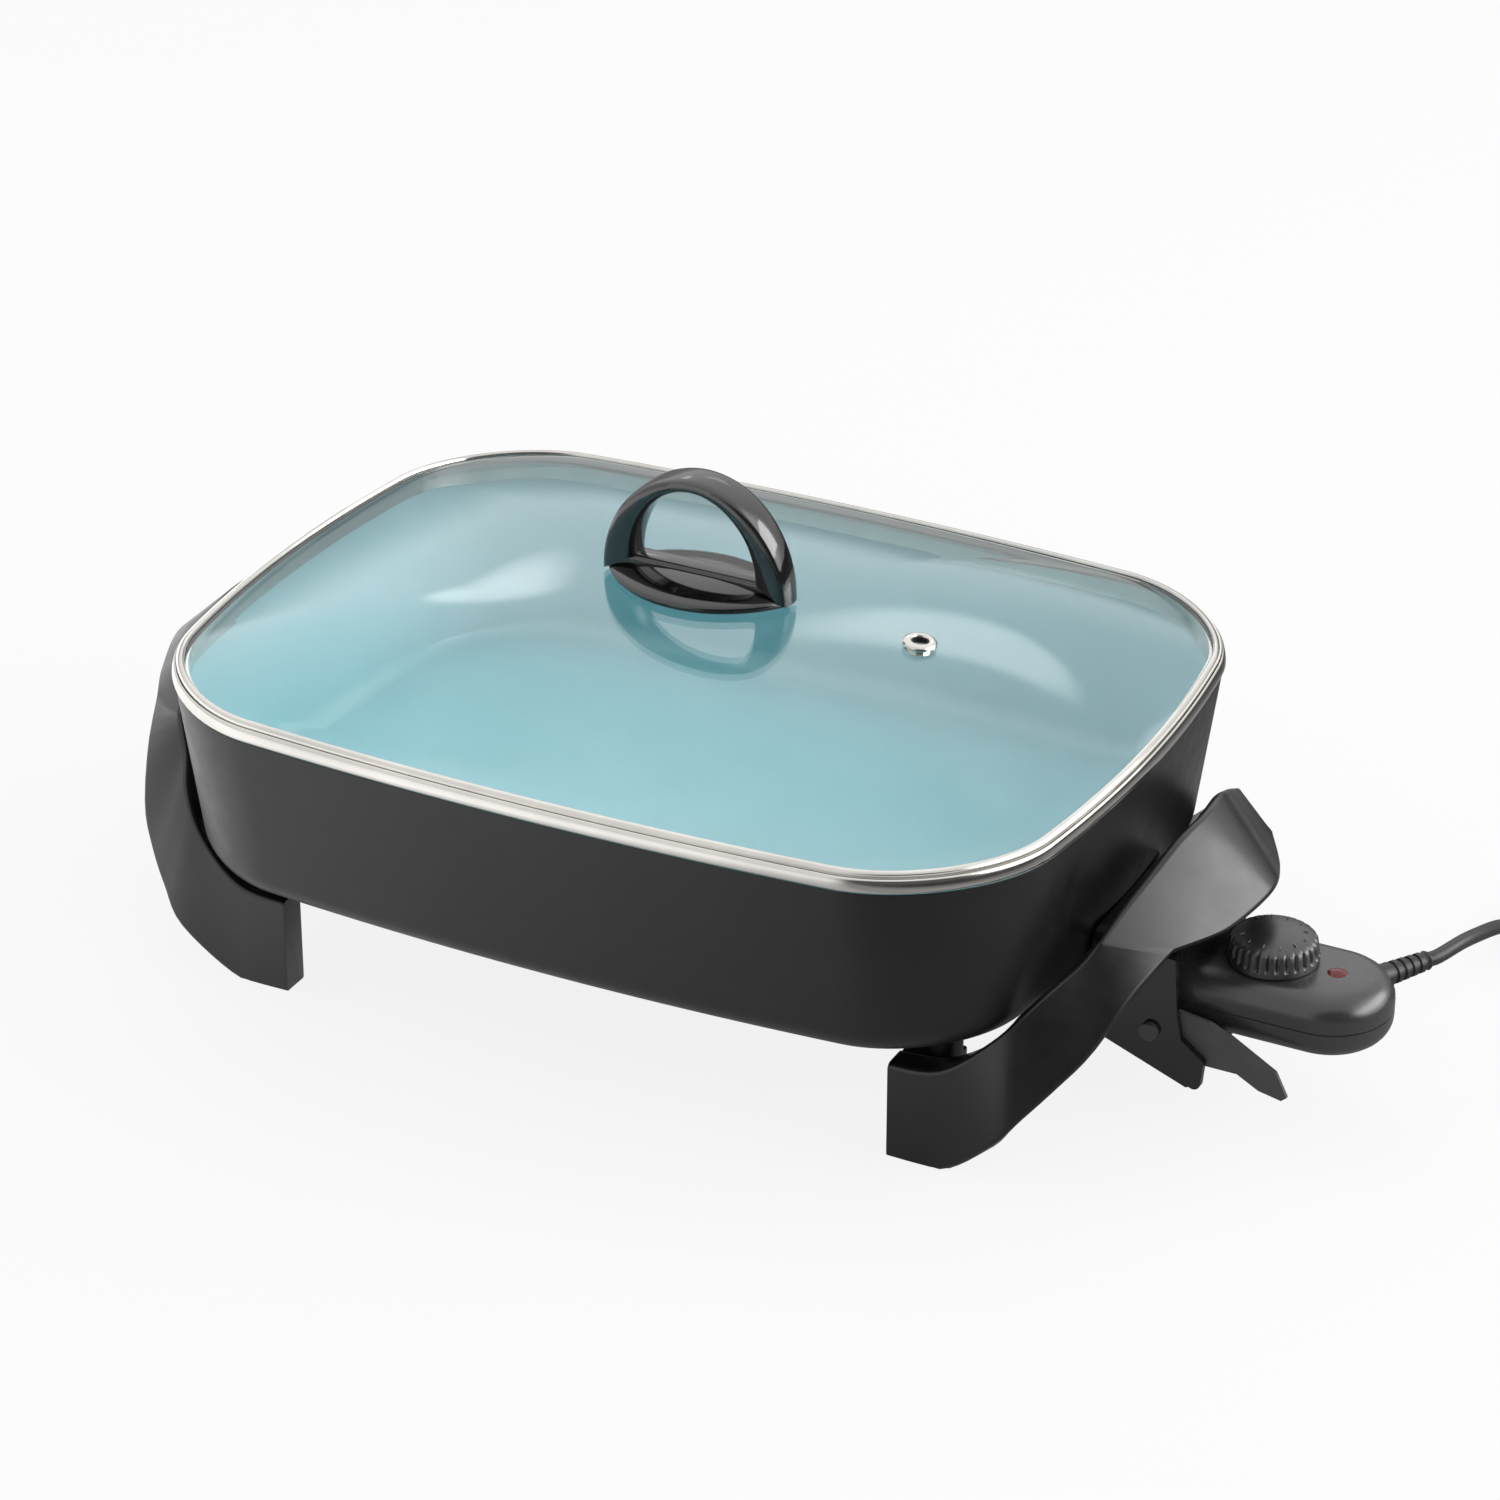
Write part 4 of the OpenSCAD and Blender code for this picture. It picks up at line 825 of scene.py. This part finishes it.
def make_knob():
    """Glossy loop that grows out of a crowned, lens-shaped base."""
    bm = bmesh.new()
    # how far the base has shrunk at each height
    crown = [(0.8, 0.0), (0.1, 0.5), (0.0, 1.2), (0.3, 1.9), (1.4, 2.7), (4.0, 3.8), (8.0, 5.1), (12.5, 6.1),
             (17.5, 6.8), (22.5, 7.0)]
    loft(bm, [lens_ring(shrink, KNOB_Z + height) for shrink, height in crown])
    rings = []
    for i in range(LOOP_STEPS + 1):
        a = math.pi * i / LOOP_STEPS
        top = math.sin(a)
        outer = Vector((KNOB_HALF * math.cos(a), 0, KNOB_HEIGHT * top))
        inner = Vector((EYE_HALF * math.cos(a), 0, BAR_HEIGHT + (EYE_TOP - BAR_HEIGHT) * top))
        half_width = LEG_HALF_WIDTH + (TOP_HALF_WIDTH - LEG_HALF_WIDTH) * min(top / 0.8, 1.0)
        points = [
            (outer + inner) / 2 + (outer - inner) * u / 2 + Vector((0, v * half_width, 0))
            for u, v in soft_ring(20, 0.5)]
        rings.append([at(p.x, p.y, KNOB_Z + max(p.z, 0.3)) for p in points])
    loft(bm, rings)
    block(bm, (-BAR_HALF, -5.0, KNOB_Z + 1.0), (BAR_HALF, 5.0, KNOB_Z + BAR_HEIGHT), 1.8, 4)
    return finish_piece("knob_loop", bm, ["gloss"], "lid", ["lid_knob"])


def make_vent():
    """Rolled steel grommet round the steam hole, square to the dome, with a black bush inside whose dark
    finish is painted shade in the hole.
    """
    bm = bmesh.new()
    half = PAN_HALF_LENGTH - DOME_EDGE
    share = VENT_X / half
    place = at(VENT_X, 0, GLASS_Z + GLASS_THICKNESS + dome(share))
    tilt = Quaternion((0, 1, 0), math.atan(3 * DOME_RISE * share ** 2 / half))
    spin(bm, [
        (3.5, 1.3), (3.5, -5.6), (6.1, -5.6), (6.1, -4.5), (4.9, -4.5), (4.9, 0.3), (7.0, 0.3), (7.0, 0.75),
        (6.7, 1.2), (6.2, 1.6), (5.5, 1.95), (4.8, 2.1), (4.2, 2.0), (3.7, 1.7)], place, 48, tilt)
    # the black bush's dark finish is painted shade down the hole
    spin(bm, [(3.1, 1.1), (3.1, -5.5), (3.45, -5.5), (3.45, 1.1)], place, 48, tilt, 1)
    return finish_piece("steam_vent", bm, ["steel", "silicone"], "lid", ["vent_grommet"])


make_knob()
make_vent()

# ---------------------------------------------------------------- probe

ROUND_X = PROBE_END - PROBE_R
CASE_FRONT = PROBE_X + 3.0
CASE_ROUND = 10.0
CASE_ROUND_STEPS = 8


def probe_ring(inset, z, back_steps=28, side_steps=12, front_steps=10):
    """Plan of the probe's housing: a square front and a half-round back."""
    r = PROBE_R - inset
    angles = [math.pi * i / back_steps for i in range(back_steps + 1)]
    back = [(ROUND_X + r * math.sin(a), -r * math.cos(a)) for a in angles]
    side = [(ROUND_X + (CASE_FRONT - ROUND_X) * i / side_steps, r) for i in range(1, side_steps + 1)]
    front = [(CASE_FRONT, r - 2 * r * i / front_steps) for i in range(1, front_steps)]
    other_side = [(x, -y) for x, y in reversed(side)]
    return [at(x, y, z) for x, y in back + side + front + other_side]


def make_probe():
    """Housing in two halves with a parting groove, soft shoulders and a crowned top."""
    bm = bmesh.new()
    r = CASE_ROUND
    angles = [math.pi / 2 * i / CASE_ROUND_STEPS for i in range(CASE_ROUND_STEPS + 1)]
    # the shoulder stops just below the top, where the crown starts
    base = [(r - r * math.sin(a), PROBE_Z + r - r * math.cos(a)) for a in angles]
    groove = [(0, SPLIT_Z - 0.35), (0.45, SPLIT_Z - 0.2), (0.45, SPLIT_Z + 0.2), (0, SPLIT_Z + 0.35)]
    shoulder = [(r - r * math.cos(a), PROBE_TOP - r + 0.96 * r * math.sin(a)) for a in angles]
    crown = [(14, PROBE_TOP - 0.15), (18, PROBE_TOP)]
    loft(bm, [probe_ring(inset, z) for inset, z in base + groove + shoulder + crown])
    return finish_piece(
        "probe_case", bm, ["probe"], "probe", ["probe_top_shell", "probe_base_shell"])


DIAL_R = 18.5
DIAL_RIBS = 28
MARKS = 11
MARK_FIRST = math.radians(-145)
MARK_STEP = math.radians(29)
MARK_END = 13.6
MARK_Z = DIAL_Z + 10.55
# How much higher a mark lies at its inner and at its outer end
MARK_RISE = (0.72, 0.25)
MARK_HEIGHT = 0.45


def make_dial():
    """Grooved dial with a crowned top."""
    bm = bmesh.new()
    steps = DIAL_RIBS * 8
    # inset from the rim, height, and share of the grooves' depth
    profile = [(0.0, 0.0, 0), (0.0, 0.5, 0), (0.0, 2.2, 0), (0.3, 3.0, 1), (0.6, 5.5, 1), (1.0, 8.2, 1),
               (1.8, 9.2, 0.6), (3.2, 10.0, 0), (6.0, 10.9, 0), (10.0, 11.6, 0), (15.0, 11.95, 0)]
    rings = []
    for inset, z, cut in profile:
        ring = []
        for i in range(steps):
            a = math.tau * i / steps
            r = DIAL_R - inset - cut * max(0.0, math.cos(a * DIAL_RIBS)) ** 2
            ring.append(at(DIAL_X + r * math.cos(a), r * math.sin(a), DIAL_Z + z))
        rings.append(ring)
    loft(bm, rings)
    return finish_piece("dial_cap", bm, ["dial"], "dial_knob", ["dial"])


def make_marks():
    """Grey marks on the dial's shoulder, long and short by turns, that slope down with it."""
    bm = bmesh.new()
    for i in range(MARKS):
        angle = MARK_FIRST + i * MARK_STEP
        start, half = (11.8, 0.22) if i % 2 == 0 else (12.6, 0.16)
        way = Vector((math.cos(angle), math.sin(angle), 0))
        across = Vector((-math.sin(angle), math.cos(angle), 0))
        low = []
        for end, side in ((0, -1), (1, -1), (1, 1), (0, 1)):
            p = way * (start, MARK_END)[end] + across * side * half
            low.append(at(DIAL_X + p.x, p.y, MARK_Z + MARK_RISE[end]))
        loft(bm, [low, [p + Vector((0, 0, MARK_HEIGHT * MM)) for p in low]])
    return finish_piece("dial_marks", bm, ["ink"], "dial_knob")


make_probe()
make_dial()
make_marks()

# ---------------------------------------------------------------- finish of the pieces that stay as they are

FINISHES = {
    "probe_nose": "probe",
    "contact_sockets": "brass",
    "sensor_rod": "plated",
    "thermostat_switch": "porcelain",
    "neon_lamp": "lamp",
    "indicator_lens": "lens",
    "dial_shaft": "brass",
    "probe_screws": "plated",
    "base_casting": "enamel",
    "heating_element": "sheath",
    "pin_insulators": "porcelain",
    "terminal_pins": "plated",
    "handle_screws_left": "plated",
    "handle_screws_right": "plated",
    "inlet_shroud": "gloss",
    "shroud_screws": "plated",
    "probe_guard": "guard",
    "guard_screws": "guard",
    "knob_gasket": "silicone",
    "knob_washer": "plated",
    "knob_screw": "plated",
    "plug_blades": "brass",
}
for node, material in FINISHES.items():
    dress(node, material)

# ---------------------------------------------------------------- floor and light


def background_mask(nodes, links, clear_share, gloss_share):
    """How much of the backdrop a ray shows: one share straight on or through glass, another in gloss."""
    path = nodes.new("ShaderNodeLightPath")
    seen = calc(nodes, links, "MAXIMUM", path.outputs["Is Camera Ray"], path.outputs["Is Transmission Ray"])
    clear = calc(nodes, links, "MULTIPLY", seen, clear_share)
    gloss = calc(nodes, links, "MULTIPLY", path.outputs["Is Glossy Ray"], gloss_share)
    return calc(nodes, links, "MAXIMUM", clear, gloss), path


# In metres: the floor reaches so far from the middle, and lies a hair below the feet
FLOOR_HALF = 6.0
FLOOR_DROP = 0.0002
FLOOR_PALE = 0.93
# How much of the backdrop the floor shows, straight on and in gloss
FLOOR_SHARES = (0.86, 0.35)
# What gloss sees of the floor, in millimetres, as painted reflected light and shade: its level, the share of
# it at each x, and from where to where it sinks behind the pan, with the share that is left there
FLOOR_GLOSS = 1.7
FLOOR_FADE = ((-320, 1.0), (0, 0.52), (230, 0.22), (400, 0.24), (1100, 0.02))
FLOOR_BEHIND = (260, 520)
FLOOR_BEHIND_SHARE = 0.22


def floor_level(nodes, links, path):
    """1 where the floor is seen straight on, and in gloss a painted reflection level, lighter at the left and
    sinking to painted shade to the right and to the rear.
    """
    place = nodes.new("ShaderNodeTexCoord")
    split = nodes.new("ShaderNodeSeparateXYZ")
    links.new(place.outputs["Object"], split.inputs[0])
    ramp = nodes.new("ShaderNodeValToRGB")
    stops = ramp.color_ramp.elements
    while len(stops) < len(FLOOR_FADE):
        stops.new(0.5)
    start, end = FLOOR_FADE[0][0], FLOOR_FADE[-1][0]
    for stop, (x, share) in zip(stops, FLOOR_FADE):
        stop.position = (x - start) / (end - start)
        stop.color = (*grey(share), 1)
    width = [at(x, 0, 0).x for x in (start, end)]
    depth = [at(0, y, 0).y for y in FLOOR_BEHIND]
    links.new(remap(nodes, links, split.outputs["X"], width, (0.0, 1.0)), ramp.inputs["Fac"])
    rear = remap(nodes, links, split.outputs["Y"], depth, (1.0, FLOOR_BEHIND_SHARE), soft=True)
    share = calc(nodes, links, "MULTIPLY", ramp.outputs["Color"], rear)
    change = calc(nodes, links, "MULTIPLY_ADD", share, FLOOR_GLOSS, -1.0)
    return calc(nodes, links, "MULTIPLY_ADD", change, path.outputs["Is Glossy Ray"], 1.0)


def make_floor():
    """Pale sweep that keeps a soft shadow."""
    bm = bmesh.new()
    bmesh.ops.create_grid(bm, x_segments=2, y_segments=2, size=FLOOR_HALF)
    mesh = bpy.data.meshes.new("floor")
    bm.to_mesh(mesh)
    bm.free()
    material, nodes, links, shader = new_material("floor_white")
    shader.inputs["Roughness"].default_value = 0.9
    shader.inputs["Specular IOR Level"].default_value = 0.1
    white = nodes.new("ShaderNodeEmission")
    mask, path = background_mask(nodes, links, *FLOOR_SHARES)
    level = floor_level(nodes, links, path)
    links.new(level, white.inputs["Strength"])
    links.new(calc(nodes, links, "MULTIPLY", level, FLOOR_PALE), shader.inputs["Base Color"])
    mix = nodes.new("ShaderNodeMixShader")
    links.new(mask, mix.inputs["Fac"])
    links.new(shader.outputs["BSDF"], mix.inputs[1])
    links.new(white.outputs["Emission"], mix.inputs[2])
    links.new(mix.outputs["Shader"], nodes["Material Output"].inputs["Surface"])
    mesh.materials.append(material)
    floor = bpy.data.objects.new("floor", mesh)
    floor.location.z = -FLOOR_DROP
    bpy.context.scene.collection.objects.link(floor)


# What only gloss and glass see of the studio, as (direction, cosine at the edge, cosine at the heart,
# change), and for a long one the direction that it is squeezed along and how much
SPOTS = [
    # no panel at the front right
    ((0.58, -0.80, 0.15), 0.68, 0.88, -0.88),
    # wide soft box overhead
    ((-0.30, 0.50, 0.81), 0.55, 0.90, 0.30),
    # panel at the right
    ((0.85, 0.30, 0.42), 0.78, 0.95, 1.8),
    # small box at the rear left
    ((-0.510, 0.750, 0.421), 0.9982, 0.9995, 1.2),
    # long box at the rear
    ((-0.215, 0.812, 0.538), 0.979, 0.994, 1.15, (0.176, 0.563, -0.806), -40.0),
    # dim wall low at the rear
    ((-0.22, 0.97, 0.05), 0.60, 0.88, -0.60, (0, 0, 1), -4.0)]


def facing(nodes, links, way):
    """Cosine between the sky's direction and another one."""
    place = nodes.new("ShaderNodeTexCoord")
    product = nodes.new("ShaderNodeVectorMath")
    product.operation = "DOT_PRODUCT"
    product.inputs[1].default_value = Vector(way).normalized()
    links.new(place.outputs["Generated"], product.inputs[0])
    return product.outputs["Value"]


def spot(nodes, links, way, edge, heart, change, across=None, squeeze=0.0):
    """A soft spot of the sky round a direction, squeezed along another one."""
    share = facing(nodes, links, way)
    if across:
        off = facing(nodes, links, across)
        square = calc(nodes, links, "MULTIPLY", off, off)
        share = calc(nodes, links, "MULTIPLY_ADD", square, squeeze, share)
    return remap(nodes, links, share, (edge, heart), (0.0, change), soft=True)


def make_world():
    """White studio whose gloss shows the spots above."""
    world = bpy.data.worlds.new("studio")
    bpy.context.scene.world = world
    world.use_nodes = True
    nodes, links = world.node_tree.nodes, world.node_tree.links
    soft = nodes["Background"]
    soft.inputs["Color"].default_value = (0.97, 0.985, 1.0, 1)
    soft.inputs["Strength"].default_value = 0.58
    white = nodes.new("ShaderNodeBackground")
    white.inputs["Color"].default_value = (1, 1, 1, 1)
    mask, path = background_mask(nodes, links, 1.0, 1.0)
    change = spot(nodes, links, *SPOTS[0])
    for each in SPOTS[1:]:
        change = calc(nodes, links, "ADD", change, spot(nodes, links, *each))
    level = calc(nodes, links, "MULTIPLY_ADD", change, path.outputs["Is Glossy Ray"], 1.0)
    links.new(level, white.inputs["Strength"])
    mix = nodes.new("ShaderNodeMixShader")
    links.new(mask, mix.inputs["Fac"])
    links.new(soft.outputs["Background"], mix.inputs[1])
    links.new(white.outputs["Background"], mix.inputs[2])
    links.new(mix.outputs["Shader"], nodes["World Output"].inputs["Surface"])


def make_lamp(name, position, target, size, power, in_gloss):
    """A rectangular lamp in metres and watts, seen in gloss and through glass or not."""
    data = bpy.data.lights.new(name, "AREA")
    data.shape = "RECTANGLE"
    data.size, data.size_y = size
    data.energy = power
    lamp = bpy.data.objects.new(name, data)
    bpy.context.scene.collection.objects.link(lamp)
    lamp.location = position
    lamp.rotation_euler = (Vector(position) - Vector(target)).to_track_quat("Z", "Y").to_euler()
    lamp.visible_glossy = in_gloss
    lamp.visible_transmission = in_gloss


make_floor()
make_world()
make_lamp("overhead_panel", (-0.5, 0.5, 1.9), (0, 0, 0.1), (1.0, 0.8), 4.5, False)
make_lamp("right_panel", (2.01, 0.59, 0.99), (0.2, 0, 0.1), (3.0, 0.95), 32, True)
make_lamp("side_panel", (-1.7, -0.7, 0.9), (0, 0, 0.1), (1.0, 1.1), 5, False)
